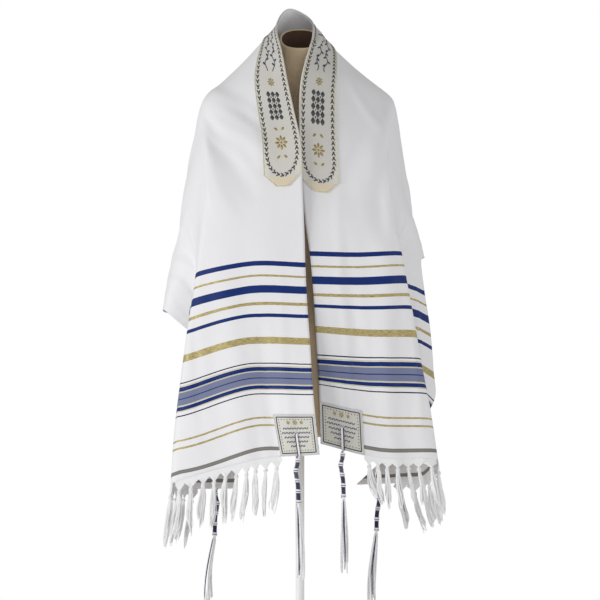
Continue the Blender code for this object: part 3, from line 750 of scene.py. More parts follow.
def sewn_up(bm, apart=0.001, fill=False):
    """Joins the seams of rolled grids, turns the faces outwards, and takes the points into the frame."""
    bmesh.ops.remove_doubles(bm, verts=bm.verts, dist=apart)
    if fill:
        bmesh.ops.holes_fill(bm, edges=[edge for edge in bm.edges if edge.is_boundary], sides=0)
    bmesh.ops.recalc_face_normals(bm, faces=bm.faces)
    for vertex in bm.verts:
        vertex.co = in_frame(vertex.co)


def add_node(tree, kind, inputs=(), out=0, **settings):
    """Adds a node and gives one of its outputs. Each input is a value, or a socket that is linked to it."""
    node = tree.nodes.new("ShaderNode" + kind)
    for name, value in settings.items():
        setattr(node, name, value)
    for place, value in inputs.items() if isinstance(inputs, dict) else enumerate(inputs):
        if isinstance(value, bpy.types.NodeSocket):
            tree.links.new(value, node.inputs[place])
        else:
            node.inputs[place].default_value = value
    return node.outputs[out]


def rgba(colour):
    return (*colour, 1)


class Look:
    """A material in the making: its nodes, and the place on the piece that its patterns start from."""

    def __init__(self, name, constants, on_flat=True):
        self.material = bpy.data.materials.new(name)
        self.material.use_nodes = True
        self.tree = self.material.node_tree
        self.surface = self.tree.nodes["Principled BSDF"]
        for socket, value in constants.items():
            self.surface.inputs[socket].default_value = value
        self.add = partial(add_node, self.tree)
        if on_flat:
            self.place = self.add("UVMap", uv_map=FLAT)
            self.along, self.across, _ = self.add("SeparateXYZ", (self.place,)).node.outputs
        else:
            self.place = self.add("TexCoord", out="Object")

    def wave(self, run, spacing):
        """A sine wave over a length, with its crests this many millimetres apart."""
        turns = self.add("Math", (run, tau / (spacing * MM)), operation="MULTIPLY")
        return self.add("Math", (turns,), operation="SINE")

    def near_edge(self, place, whole):
        """How far a place lies from the nearer end of a length in millimetres."""
        other = self.add("Math", (whole * MM, place), operation="SUBTRACT")
        return self.add("Math", (other, place), operation="MINIMUM")

    def finish(self, colour, tone=None, height=None, strength=0.0, depth=0.0, **others):
        """Puts the colour, darkened by tone, and the relief, this deep in millimetres, on the surface."""
        if tone:
            colour = self.add("Mix", {0: 1.0, 6: colour, 7: tone}, 2, data_type="RGBA", blend_type="MULTIPLY")
        sockets = {"Base Color": colour, **others}
        if height:
            relief = {"Strength": strength, "Distance": depth * MM, "Height": height}
            sockets["Normal"] = self.add("Bump", relief)
        for socket, value in sockets.items():
            self.tree.links.new(value, self.surface.inputs[socket])
        return self.material


def woven_cotton(cloth):
    """Plain-woven cotton: matt white, with smoother blue threads and glinting gold ones in its stripes."""
    matt = {"Specular IOR Level": 0.2, "Sheen Weight": 0.1, "Sheen Roughness": 0.5}
    look = Look("plain_woven_cotton", matt)
    add, place = look.add, look.place
    nearer = look.near_edge(look.along, CLOTH_LENGTH)
    # Picks never lie dead straight: the stripes wander by a quarter of a millimetre
    wander = add("TexNoise", {"Vector": place, "Scale": 70.0, "Detail": 2.0})
    from_end = add("Math", (wander, 2 * PICK_WANDER * MM, nearer), operation="MULTIPLY_ADD")
    # Threads run across the cloth in the stripes, so the painted glints, light dashes among painted shade in
    # the gold's colour, run that way
    dashes = add("Mapping", {"Vector": place, "Scale": (900, 130, 1)})
    glint = add("TexNoise", {"Vector": dashes, "Scale": 1.0, "Detail": 1.0})
    sharp = add("MapRange", (glint, 0.35, 0.65))
    gold = add("Mix", {0: sharp, 6: rgba(cloth.gold_painted_shade), 7: rgba(cloth.gold)}, 2, data_type="RGBA")
    # The hatched stripe is drawn with a 3.2 mm twill, coarser than the real one so that it shows
    twill = look.wave(add("Math", (look.along, look.across), operation="ADD"), 3.2)
    hatch = add("MapRange", (twill, -0.6, 0.6))
    hatched = add("Mix", {0: hatch, 6: rgba(cloth.pale_blue), 7: rgba(cloth.white)}, 2, data_type="RGBA")
    softened = add("Mix", {0: 0.85, 6: hatched, 7: rgba(cloth.pale_blue)}, 2, data_type="RGBA")
    patterned = {"gold": gold, "hatched": softened}
    # The white ground is a little uneven in tone, as hand-washed cotton is
    mottle = add("TexNoise", {"Vector": place, "Scale": 14.0, "Detail": 3.0})
    shade = rgba([0.96 * v for v in cloth.white])
    colour = add("Mix", {0: mottle, 6: shade, 7: rgba(cloth.white)}, 2, data_type="RGBA")
    metal, dyed = 0.0, 0.0
    for middle, width, thread in STRIPES:
        band = (from_end, (middle + PICK_WANDER) * MM, width / 2 * MM)
        inside = add("Math", band, operation="COMPARE")
        paint = patterned[thread] if thread in patterned else rgba(getattr(cloth, thread))
        colour = add("Mix", {0: inside, 6: colour, 7: paint}, 2, data_type="RGBA")
        if thread == "gold":
            metal = add("Math", (metal, inside), operation="MAXIMUM")
        if thread == "blue":
            dyed = add("Math", (dyed, inside), operation="MAXIMUM")
    shine = add("Math", (metal, 0.25), operation="MULTIPLY")
    lustre = add("Math", (metal, dyed), operation="MAXIMUM")
    rough = add("Math", (lustre, -0.35, 0.85), operation="MULTIPLY_ADD")
    # Real threads lie 0.5 mm apart: the weave is drawn at 1.4 mm so that a close view shows it
    weave = add("Math", (look.wave(look.along, 1.4), look.wave(look.across, 1.4)), operation="MULTIPLY")
    slub = add("Math", (glint, 1.5, weave), operation="MULTIPLY_ADD")
    return look.finish(colour, None, slub, 0.3, 0.12, Metallic=shine, Roughness=rough)


def satin_weave(look, colour):
    """Gives a satin surface its fine diamond ground and its long floating threads, with painted shade in the
    low parts of their relief.
    """
    # The diamonds of the jacquard ground are 2.4 mm apart
    slants = [look.add("Math", (look.along, look.across), operation=way) for way in ("ADD", "SUBTRACT")]
    diamonds = look.add("Math", [look.wave(slant, 2.4) for slant in slants], operation="MULTIPLY")
    floats = look.add("Mapping", {"Vector": look.place, "Scale": (90, 1500, 1)})
    thread = look.add("TexNoise", {"Vector": floats, "Scale": 1.0, "Detail": 2.0})
    height = look.add("Math", (thread, 1.6, diamonds), operation="MULTIPLY_ADD")
    # Painted shade in the low parts of the weave and a faint painted highlight on its high parts, together
    # with the floating threads' own uneven tone
    tone = look.add("MapRange", (height, -1.0, 2.4, 0.86, 1.04))
    return look.finish(colour, tone, height, 0.35, 0.12)


def neckband_satin(satin):
    """Jacquard-woven rayon satin: silvery in the middle, cream at the edges, warm on its plain points."""
    look = Look("jacquard_rayon_satin_neckband", SATIN_GLOSS)
    edge = look.near_edge(look.across, BAND_WIDTH)
    inner = look.add("MapRange", (edge, 8 * MM, 14 * MM))
    colour = look.add("Mix", {0: inner, 6: rgba(satin.edge), 7: rgba(satin.field)}, 2, data_type="RGBA")
    for end in (BAND_START, BAND_END):
        from_tip = look.add("Math", (look.along, end * MM), operation="SUBTRACT")
        distance = look.add("Math", (from_tip,), operation="ABSOLUTE")
        warm = look.add("MapRange", (distance, 13 * MM, 20 * MM, 1.0, 0.0))
        colour = look.add("Mix", {0: warm, 6: colour, 7: rgba(satin.point)}, 2, data_type="RGBA")
    return satin_weave(look, colour)


def patch_satin(satin):
    """Rayon satin of the corner patches: cream-grey, inside a paler binding."""
    look = Look("rayon_satin_patch", SATIN_GLOSS)
    insides = []
    sides = ((look.along, CLOTH_LENGTH, PATCH_LENGTH), (look.across, CLOTH_WIDTH, PATCH_WIDTH))
    for place, whole, reach in sides:
        insides.append(look.near_edge(look.near_edge(place, whole), reach))
    inside = look.add("Math", insides, operation="MINIMUM")
    field = look.add("MapRange", (inside, 4.5 * MM, 5.5 * MM))
    colour = look.add("Mix", {0: field, 6: rgba(satin.binding), 7: rgba(satin.patch)}, 2, data_type="RGBA")
    return satin_weave(look, colour)


def twisted_yarn(name, colour, roughness, ply, plies=2):
    """Spun yarn of several plies: their twist throws fine slanting shadows, and loose fibres soften it."""
    look = Look(name, {"Roughness": roughness, "Sheen Weight": 0.3})
    slant = look.add("Math", (look.across, ply * plies * MM, look.along), operation="MULTIPLY_ADD")
    wave = look.wave(slant, ply)
    groove = look.add("MapRange", (wave, -1.0, -0.2, 0.94, 1.0))
    return look.finish(rgba(colour), groove, wave, 0.5, 0.2)


def stitched_thread(name, colour, metallic):
    """Embroidery thread laid side by side: glossy rayon, with the stitches as fine parallel lines and painted
    shade between them.
    """
    look = Look(name, {"Roughness": 0.42, "Metallic": metallic, "Sheen Weight": 0.1})
    slant = look.add("Math", (look.along, 0.4, look.across), operation="MULTIPLY_ADD")
    # Real stitches lie 0.4 mm apart: these are drawn at 1.1 mm
    wave = look.wave(slant, 1.1)
    # Painted shade between the stitches and a faint painted highlight on them, following their relief
    tone = look.add("MapRange", (wave, -1.0, 1.0, 0.8, 1.05))
    return look.finish(rgba(colour), tone, wave, 0.5, 0.15)


def jersey_cover(name, colour, roughness):
    """Fine cotton jersey stretched over padding: matt, with the knit's upright rows just showing."""
    look = Look(name, {"Roughness": roughness, "Sheen Weight": 0.15})
    # The knit's rows are 1.2 mm apart and its stitches 1.6 mm, about twice the real ones
    stitches, rows = look.wave(look.along, 1.6), look.wave(look.across, 1.2)
    knit = look.add("Math", (stitches, 0.5, rows), operation="MULTIPLY_ADD")
    cloud = look.add("TexNoise", {"Vector": look.place, "Scale": 12.0, "Detail": 4.0})
    tone = look.add("MapRange", (cloud, 0.3, 0.7, 0.92, 1.03))
    return look.finish(rgba(colour), tone, knit, 0.35, 0.2)


def powder_coat(colour):
    """White powder coat on steel: satin, with the fine pebbling that the baked powder leaves, and faint
    painted shade in its hollows.
    """
    look = Look("white_powder_coat", {}, on_flat=False)
    # Real pebbles are about 0.5 mm across: these are drawn at about 1.5 mm
    pebbles = look.add("TexNoise", {"Vector": look.place, "Scale": 650.0, "Detail": 2.0})
    rough = look.add("MapRange", (pebbles, 0.3, 0.7, 0.38, 0.5))
    # Faint painted shade in the hollows of the pebbling
    tone = look.add("MapRange", (pebbles, 0.3, 0.7, 0.97, 1.0))
    return look.finish(rgba(colour), tone, pebbles, 0.2, 0.1, Roughness=rough)


def painted_floor(colour):
    """Matt painted board: pale and even, with a faint mottle."""
    look = Look("matt_painted_board", {"Roughness": 0.9}, on_flat=False)
    mottle = look.add("TexNoise", {"Vector": look.place, "Scale": 6.0, "Detail": 3.0})
    shade = rgba([0.97 * v for v in colour])
    return look.finish(look.add("Mix", {0: mottle, 6: shade, 7: rgba(colour)}, 2, data_type="RGBA"))


def on_cloth(along, across):
    return along * MM, across * MM


def bowed(along, across):
    """The place on the cloth whose colour shows here, where the picks aren't quite straight."""
    turns = (across - BOW_MIDDLE) / BOW_WAVE
    fade = max(0.0, 1 - along / BOW_REACH) ** 0.5
    bow = BOW * sin(tau * turns) * fade if abs(turns) <= 0.5 else 0.0
    past = min(abs(CLOTH_LENGTH - along - SAG_MIDDLE) / SAG_REACH, 1.0)
    sag = SAG * (1 - past ** 2) ** 2 * max(0.0, 1 - across / SAG_WIDTH)
    return on_cloth(along + bow - sag, across)


class SHAWL_OT_cloth(bpy.types.Operator):
    """Build the draped cloth, with its woven stripes"""

    bl_idname = "shawl.cloth"
    bl_label = "Shawl cloth"

    def execute(self, context):
        cloth = context.scene.shawl_cloth
        drape = hanging_cloth()
        bm = bmesh.new()
        flat_grid(
            bm, drape.rows, drape.columns,
            lambda x, y: in_frame(drape.net[round(x * drape.rows)][round(y * drape.columns)]),
            lambda x, y: bowed(x * CLOTH_LENGTH, y * CLOTH_WIDTH),
        )
        finished("shawl_cloth", bm, [woven_cotton(cloth)], "shawl", cloth.wall, 0)
        return {"FINISHED"}


def needle_height():
    """How far the needlework's underside lies from the middle of the cloth's wall."""
    return SATIN_LIFT + bpy.context.scene.shawl_satin.wall / MM


class Needlework:
    """Flat motifs in millimetres on the flat cloth, which are laid on the satin together."""

    def __init__(self):
        self.bm = bmesh.new()
        self.layer = self.bm.loops.layers.uv.verify()

    def leaf(self, along, across, length, width, turn, thread, pinch=0.7):
        """A pointed leaf: pinch 0 is an oval. Turn 0 points along the cloth."""
        made = bmesh.ops.create_circle(self.bm, cap_ends=True, segments=10, radius=1)["verts"]
        spin = Matrix.Rotation(turn, 2)
        for vertex in made:
            x, y = vertex.co.x, vertex.co.y
            flat = spin @ Vector((x * length / 2, y * (1 - pinch * x * x) * width / 2))
            vertex.co = (along + flat.x, across + flat.y, 0)
        for face in {face for vertex in made for face in vertex.link_faces}:
            face.material_index = thread

    def line(self, points, width, thread):
        """A line of stitches through some places of the cloth."""
        last = len(points) - 1
        places = [Vector(point) for point in points]

        def place(x, y):
            i = round(x * last)
            ahead = difference(places, i).normalized()
            return (places[i] + Vector((-ahead.y, ahead.x)) * (y - 0.5) * width).to_3d()

        flat_grid(self.bm, last, 1, place, lambda x, y: (x, y), thread)

    def rosette(self, along, across, radius, centre):
        """Eight gold petals round a centre of its own thread."""
        for k in range(8):
            turn = pi * k / 4
            x, y = along + radius * 0.62 * cos(turn), across + radius * 0.62 * sin(turn)
            self.leaf(x, y, radius * 0.72, radius * 0.36, turn, GOLD)
        self.leaf(along, across, radius * 0.34, radius * 0.34, 0, centre, 0)

    def laid(self, name, threads):
        """Turns the motifs to face outwards, lays them on the satin, and makes them one object."""
        drape, height = hanging_cloth(), needle_height()
        for face in self.bm.faces:
            face.normal_update()
            if face.normal.z < 0:
                face.normal_flip()
            for loop in face.loops:
                loop[self.layer].uv = on_cloth(loop.vert.co.x, loop.vert.co.y)
        for vertex in self.bm.verts:
            vertex.co = in_frame(drape.at(vertex.co.x, vertex.co.y, height))
        finished(name, self.bm, threads, None, bpy.context.scene.shawl_satin.thread_height)


def satin_piece(name, node, material, length, low, high, place_at):
    """A satin piece. place_at(share, across) gives the flat place this share of the way along it."""
    drape = hanging_cloth()
    bm = bmesh.new()

    def flat(x, y):
        return place_at(x, low + (high - low) * y)

    flat_grid(
        bm, round(length / 5), round((high - low) / 3.5),
        lambda x, y: in_frame(drape.at(*flat(x, y), SATIN_LIFT)), lambda x, y: on_cloth(*flat(x, y)),
    )
    finished(name, bm, [material], node, bpy.context.scene.shawl_satin.wall)


def threads_of(satin):
    return [
        stitched_thread("rayon_thread_slate", satin.slate, 0.0),
        stitched_thread("metallic_thread_gold", satin.gold, 0.55),
        stitched_thread("rayon_thread_indigo", satin.indigo, 0.0),
    ]


def on_band(share, across):
    """The flat place this share of the way along the neckband, whose ends lie back from their blunt tips."""
    beyond_tip = abs(2 * across / BAND_WIDTH - 1) - BAND_TIP
    back = BAND_POINT * max(0.0, beyond_tip / (1 - BAND_TIP))
    return BAND_START + back + (BAND_END - BAND_START - 2 * back) * share, across


class SHAWL_OT_neckband(bpy.types.Operator):
    """Build the satin neckband, its corded edges and its needlework"""

    bl_idname = "shawl.neckband"
    bl_label = "Neckband"

    def execute(self, context):
        satin = context.scene.shawl_satin
        length = BAND_END - BAND_START
        satin_piece("neckband_satin", "neckband", neckband_satin(satin), length, 0.6, BAND_WIDTH, on_band)
        self.piping(satin)
        work = Needlework()
        self.border(work)
        for tip, way in ((BAND_START, 1), (BAND_END, -1)):
            self.ornament(work, tip, way)
        self.vine(work)
        work.laid("neckband_needlework", threads_of(satin))
        return {"FINISHED"}

    def piping(self, satin):
        """A corded edge all round the band."""
        radius = satin.piping / MM
        low, high = radius + 0.3, BAND_WIDTH - radius - 0.3
        steps, turns = 150, 12
        places = [on_band(k / steps, low) for k in range(steps + 1)]
        places += [on_band(1, low + (high - low) * k / turns) for k in range(1, turns)]
        places += [on_band(1 - k / steps, high) for k in range(steps + 1)]
        places += [on_band(0, high - (high - low) * k / turns) for k in range(1, turns)]
        drape = hanging_cloth()
        bm = bmesh.new()
        tube(bm, [drape.at(*place, SATIN_LIFT + radius) for place in (*places, places[0])], radius, 6)
        sewn_up(bm)
        finished("neckband_piping", bm, [twisted_yarn("cotton_piping_cord", satin.edge, 0.7, 4.0)])

    def border(self, work):
        """Leafy chevrons along both edges, which run round in an arch at each end."""
        half = BAND_WIDTH / 2 - BORDER_INSET
        line = []
        for start, way in ((BAND_START + ARCH_START, 1), (BAND_END - ARCH_START, -1)):
            for k in range(9):
                turn = pi * k / 8
                along = start + way * ARCH_DEPTH * (1 - sin(turn))
                line.append((along, BAND_WIDTH / 2 - way * half * cos(turn)))
        closed = [Vector(place) for place in (*line, line[0])]
        lengths = [(closed[i + 1] - closed[i]).length for i in range(len(closed) - 1)]
        count = round(sum(lengths) / BORDER_PITCH)
        pitch = sum(lengths) / count
        done, passed = 0, 0.0
        for i, length in enumerate(lengths):
            ahead = (closed[i + 1] - closed[i]) / length
            while done < count and done * pitch <= passed + length:
                self.chevron(work, closed[i] + ahead * (done * pitch - passed), atan2(ahead.y, ahead.x))
                done += 1
            passed += length

    def chevron(self, work, place, turn):
        ahead = Vector((cos(turn), sin(turn)))
        for slant in (turn + CHEVRON_SLANT, turn - CHEVRON_SLANT):
            middle = place + Vector((cos(slant), sin(slant))) * 2.6 - ahead
            work.leaf(*middle, 7.2, 2.5, slant, SLATE, 0.4)
        work.leaf(*(place - ahead * 2.2), 4.6, 2.0, turn + pi / 2, SLATE, 0.2)

    def ornament(self, work, tip, way):
        """Gold rosettes and a slate lattice of lozenges on one front stretch of the band."""
        middle = BAND_WIDTH / 2
        for along, radius, centre in ROSETTES:
            work.rosette(tip + way * along, middle, radius, centre)
        for side in (-1, 1):
            for along, turn in GOLD_LEAVES:
                work.leaf(tip + way * along, middle + side * 7, 8, 4.4, turn * side, GOLD)
        for row in range(5):
            for column in (-1, 0, 1):
                along = tip + way * (LATTICE_START + row * LATTICE_PITCH)
                work.leaf(along, middle + column * LATTICE_PITCH, 9.3, 8.6, 0, SLATE, 0.8)
        for row in range(4):
            for column in (0, 1):
                along = tip + way * (DOTS_START + row * LATTICE_PITCH)
                thread = GOLD if (row + column) % 2 else SLATE
                work.leaf(along, middle + (column - 0.5) * LATTICE_PITCH, 3.4, 2.6, 0, thread, 0.3)

    def vine(self, work):
        """Two winding stems with leaves, from above the upper rosette on one side round to the other."""
        start, end = BAND_START + VINE_START, BAND_END - VINE_START
        steps = round((end - start) / 3)
        for row, phase in ((-1, 0.0), (1, pi)):
            stem = []
            for k in range(steps + 1):
                along = start + (end - start) * k / steps
                swing = VINE_SWING * sin(along * tau / VINE_WAVE + phase)
                stem.append((along, BAND_WIDTH / 2 + row * LATTICE_PITCH + swing))
            work.line(stem, 1.7, SLATE)
            for k in range(4, steps - 2, 3):
                along, across = stem[k]
                side = 1 if (k // 3) % 2 else -1
                thread = INDIGO if k % 2 else SLATE
                work.leaf(along + 1.5, across + side * VINE_SWING, 8.6, 4.2, side * 0.9, thread)


class SHAWL_OT_patches(bpy.types.Operator):
    """Build the four satin patches at the corners, with their needlework and eyelets"""

    bl_idname = "shawl.patches"
    bl_label = "Corner patches"

    def execute(self, context):
        satin = context.scene.shawl_satin
        cover = patch_satin(satin)
        threads = threads_of(satin)
        yarn = twisted_yarn("cotton_eyelet_cord", satin.binding, 0.7, 3.0)
        length = PATCH_LENGTH - 2 * PATCH_ROOM
        for corner, along, across, hole in CORNERS:
            name = f"patch_{corner}"
            satin_piece(
                f"{name}_satin", name, cover, length, across + PATCH_ROOM, across + PATCH_WIDTH - PATCH_ROOM,
                lambda share, place: (along + PATCH_ROOM + length * share, place),
            )
            work = Needlework()
            self.needlework(work, Vector((along, across)), along == 0)
            work.laid(f"{name}_needlework", threads)
            self.edging(name, yarn, Vector((along, across)), hole)
        return {"FINISHED"}

    def corners(self, low, inset):
        """The corners of a patch, this far in from its edges."""
        size = Vector((PATCH_LENGTH, PATCH_WIDTH)) - Vector((inset, inset)) * 2
        start = low + Vector((inset, inset))
        return [start + Vector(share) * size for share in ((0, 0), (1, 0), (1, 1), (0, 1), (0, 0))]

    def needlework(self, work, low, left):
        """A slate frame with a row of dots in it, herringbone rows of small leaves, and gold rosettes."""
        corners = self.corners(low, FRAME_INSET)
        for first, last in zip(corners, corners[1:]):
            work.line([first.lerp(last, k / 24) for k in range(25)], 2.2, SLATE)
        near, _, far, _, _ = self.corners(low, DOTS_INSET)
        for k in range(12):
            place = near.lerp(far, k / 11)
            for x, y in ((place.x, near.y), (place.x, far.y), (near.x, place.y), (far.x, place.y)):
                work.leaf(x, y, 2.0, 2.0, 0, SLATE, 0)
        up = 1 if left else -1
        top = low.x + PATCH_LENGTH if left else low.x
        middle = low.y + PATCH_WIDTH / 2
        for row, count in enumerate(LEAF_COUNTS):
            level = top - up * (LEAF_ROWS_FROM + LEAF_ROW_PITCH * row)
            for k in range(count):
                y = middle + (k - (count - 1) / 2) * LEAF_PITCH
                work.leaf(level, y, 5.0, 2.0, 0.6 if k % 2 else -0.6, INDIGO, 0.3)
        for offset, radius in PATCH_ROSETTES:
            work.rosette(top - up * PATCH_ROSETTES_FROM, middle + offset, radius, GOLD)

    def edging(self, name, yarn, low, hole):
        """A cord round the patch and a stitched ring round the eyelet."""
        drape = hanging_cloth()
        bm = bmesh.new()
        corners = self.corners(low, EDGE_INSET)
        places = [first.lerp(last, k / 20) for first, last in zip(corners, corners[1:]) for k in range(20)]
        lift = SATIN_LIFT + EDGE_RADIUS
        tube(bm, [drape.at(*place, lift) for place in (*places, places[0])], EDGE_RADIUS, 6)
        ring = []
        for k in range(17):
            turn = pi * k / 8
            place = Vector(hole) + Vector((cos(turn), sin(turn))) * EYELET_RADIUS
            ring.append(drape.at(*place, needle_height() + 0.4))
        tube(bm, ring, 0.9, 6)
        sewn_up(bm)
        finished(f"{name}_edging", bm, [yarn])


def column_places(ridge_at):
    """Distances across the cloth of the CAD cloth's columns."""
    start = NECK_COLUMNS[-1]
    low = [CLOTH_WIDTH - place for place in LOW_COLUMNS]
    run_in = ridge_at - FOLD_RADIUS - start
    run_out = low[0] - ridge_at - FOLD_RADIUS
    front = [start + run_in * i / FRONT_COLUMNS for i in range(1, FRONT_COLUMNS + 1)]
    back = [ridge_at + FOLD_RADIUS + run_out * i / BACK_COLUMNS for i in range(BACK_COLUMNS)]
    return [*NECK_COLUMNS, *front, ridge_at, *back, *low]


class SHAWL_OT_fringes(bpy.types.Operator):
    """Build both fringes: loose warp threads, gathered in knotted tassels"""

    bl_idname = "shawl.fringes"
    bl_label = "Fringes"

    def execute(self, context):
        settings = context.scene.shawl_fringe
        yarn = twisted_yarn("spun_cotton_fringe_yarn", settings.yarn, 0.85, 3.0)
        for end, edge, inward in (("left", 0.0, 1), ("right", CLOTH_LENGTH, -1)):
            bm = bmesh.new()
            self.fringe(bm, settings, edge, inward, FRINGE_LENGTHS[end])
            sewn_up(bm)
            finished(f"fringe_{end}_yarn", bm, [yarn], f"fringe_{end}")
        return {"FINISHED"}

    def fringe(self, bm, settings, edge, inward, length):
        drape = hanging_cloth()
        # The same throws as the CAD fringe, so that each tassel hangs where its solid does
        cad, loose = Random(FRINGE_SEED - inward), Random(LOOSE_SEED - inward)
        places = column_places(section_at(edge).ridge_at)
        hem = [drape.at(edge, across) for across in places]
        for j in range(len(NECK_COLUMNS) - 1, len(hem) - len(LOW_COLUMNS)):
            count = round((hem[j + 1] - hem[j]).length / FRINGE_PITCH)
            for k in range(count):
                across = places[j] + (places[j + 1] - places[j]) * (k + 0.5) / count
                start = drape.at(edge, across)
                out = (drape.at(edge, across, 1) - start).normalized()
                away = (start - drape.at(edge + HEM_REACH * inward, across)).normalized()
                middle = start + away * (SEAM_GAP + STRIP_HEIGHT)
                aside = out.cross(UP) * cad.uniform(-FRINGE_SWAY, FRINGE_SWAY)
                lean = aside + out * cad.uniform(-1, 1) + Vector((middle.x * FRINGE_FLARE, 0, 0))
                root = Root(edge, across, (places[j + 1] - places[j]) / count, middle, out, lean)
                self.tassel(bm, settings, root, inward, length * cad.uniform(*UNEVEN), loose)

    def tassel(self, bm, settings, root, inward, hang, loose):
        """One tassel: strands that leave the hem side by side, meet in a knot, and hang in a loose bunch."""
        drape = hanging_cloth()
        level = Vector((root.out.x, root.out.y, 0)).normalized()
        aside = level.cross(UP)
        spread = loose.uniform(*SPREADS)
        radius = settings.strand / MM
        swing = aside * loose.uniform(*SWINGS)
        curl, turn = aside * loose.uniform(*CURLS), loose.uniform(*PHASES)
        down_hem = (root.middle - drape.at(root.edge, root.across)).normalized()
        radii = [radius * 0.3, radius * 0.7] + [radius] * len(TASSEL_STATIONS) + [radius * 0.6]
        for k in range(settings.strands):
            share = (k + 0.5) / settings.strands
            place = min(max(root.across + (share - 0.5) * root.reach, 0.5), CLOTH_WIDTH - 0.5)
            start = drape.at(root.edge, place)
            around = Vector((loose.uniform(-1, 1), loose.uniform(-0.7, 0.7)))
            around.x = around.x * 0.5 + (share - 0.5) * 1.2
            length = hang * loose.uniform(*LENGTHS)
            wave, phase = loose.uniform(*WAVES), loose.uniform(*PHASES)
            # Each strand grows out of the cloth's wall, so that the hem shows no edge
            centres = [drape.at(root.edge + ROOTED * inward, place), start, start + down_hem * SELVEDGE]
            for down, open_share in TASSEL_STATIONS:
                centre = root.middle + UP * (-length * down) + root.lean * down ** 1.5
                centre += (aside * around.x + level * around.y) * spread * open_share
                if down > KNOT_AT:
                    past = down - KNOT_AT
                    centre += swing * past ** 1.5 + aside * sin(past * 9 + phase) * wave * past
                    centre += curl * sin(past * 6 + turn) * past
                centres.append(centre)
            tube(bm, centres, radii, 4)
        knot = root.middle + UP * (-hang * KNOT_AT) + root.lean * KNOT_AT ** 1.5
        # The knot's yarn passes once and a half round the gathered strands
        wind(
            bm, lambda share: knot + UP * ((share - 0.5) * 4.4), (aside, level), 1.5, 16, (3.0, 2.7),
            settings.knot / MM,
        )


class SHAWL_OT_corner_tassels(bpy.types.Operator):
    """Build the four corner tassels: doubled cords, a wound and knotted stretch, and loose ends"""

    bl_idname = "shawl.corner_tassels"
    bl_label = "Corner tassels"

    def execute(self, context):
        settings = context.scene.shawl_tassels
        cords = [
            twisted_yarn("spun_wool_cord_white", settings.white, 0.8, 4.5),
            twisted_yarn("spun_wool_cord_blue", settings.blue, 0.75, 4.5),
        ]
        for corner, _, _, hole in CORNERS:
            self.tassel(settings, cords, corner, *hole)
        return {"FINISHED"}

    def tassel(self, settings, cords, corner, along, across):
        drape = hanging_cloth()
        name = f"corner_tassel_{corner}"
        way = 1 if corner.endswith("front") else -1
        random = Random(len(name) + way)
        edge, blue = (0.0, 5) if along < CLOTH_LENGTH / 2 else (CLOTH_LENGTH, 6)
        low = drape.at(edge, across, CORD_LIFT)
        out = low - drape.at(edge, across)
        level = Vector((out.x, out.y, 0)).normalized()
        axes = (level.cross(UP), level)
        top = low + level * WOUND_STANDS_OUT + UP * -WOUND_BELOW
        bm = bmesh.new()
        for offset, cord in CORDS:
            centres = [drape.at(along, across + offset * 0.3, needle_height() - 0.8)]
            for share in (0.06, 0.25, 0.5, 0.75, 1.0):
                centres.append(drape.at(along + (edge - along) * share, across + offset, CORD_LIFT))
            bend = low.lerp(top, 0.5) + level * 1.5
            centres += [bend + axes[0] * offset * 0.7, top + axes[0] * offset * 0.3]
            tube(bm, centres, settings.cord / MM, 7, cord)

        def route(share):
            return top + Vector((SWING_TRACK(share) * way, 0, -WOUND_LENGTH * share))

        self.wound(bm, settings, route, axes)
        loose = Random(90 + len(name) + way)
        self.loose_ends(bm, settings, route(1.0), LEANS[corner], random, loose, blue)
        sewn_up(bm)
        finished(f"{name}_cord", bm, cords, name)

    def wound(self, bm, settings, route, axes):
        """A white core, close blue windings between the knots, and white knots with one blue turn."""
        tube(bm, [route(k / 24) for k in range(25)], CORE_RADIUS, 8)
        thin = settings.winding / MM

        def helix(begin, finish, turns, reach, radius, cord):
            def stretch(share):
                return route(begin + (finish - begin) * share)

            wind(bm, stretch, axes, turns, turns * 9, (reach, reach), radius, cord)

        for first, last in zip(WOUND_KNOTS, WOUND_KNOTS[1:]):
            begin, finish = first + KNOT_HALF, last - KNOT_HALF
            turns = round((finish - begin) * WOUND_LENGTH / (thin * 2.05))
            helix(begin, finish, turns, WINDING_REACH, thin, 1)
        for knot in WOUND_KNOTS:
            for begin, finish, *turned in KNOT_TURNS:
                helix(knot + begin, knot + finish, *turned)

    def loose_ends(self, bm, settings, end, lean, random, loose, blue):
        """Seven white ends and a blue one, which hang in a narrow bunch that leans a little."""
        for k in range(STRANDS):
            turn = tau * k / STRANDS
            around = Vector((cos(turn), sin(turn), 0))
            sway = Vector((random.uniform(-1, 1), random.uniform(-1, 1), 0)) * 1.2
            length = STRAND_LENGTH * random.uniform(*UNEVEN)
            phase, wave = loose.uniform(*PHASES), loose.uniform(0.5, 1.6)
            centres = [end + UP * 2]
            for step in range(1, LOOSE_STEPS + 1):
                share = step / LOOSE_STEPS
                bow = Vector((sin(share * 5 + phase), cos(share * 4 + phase), 0)) * wave * share
                reach = 1.6 + STRAND_SPREAD * share ** 0.6
                leaning = Vector((lean * sin(share * 1.8), 0, -length * share))
                centres.append(end + leaning + around * reach + sway * share + bow)
            thick = settings.loose_end / MM * (0.55 if k == blue else 1.0)
            tube(bm, centres, [thick] * LOOSE_STEPS + [thick * 0.75], 6, 1 if k == blue else 0)


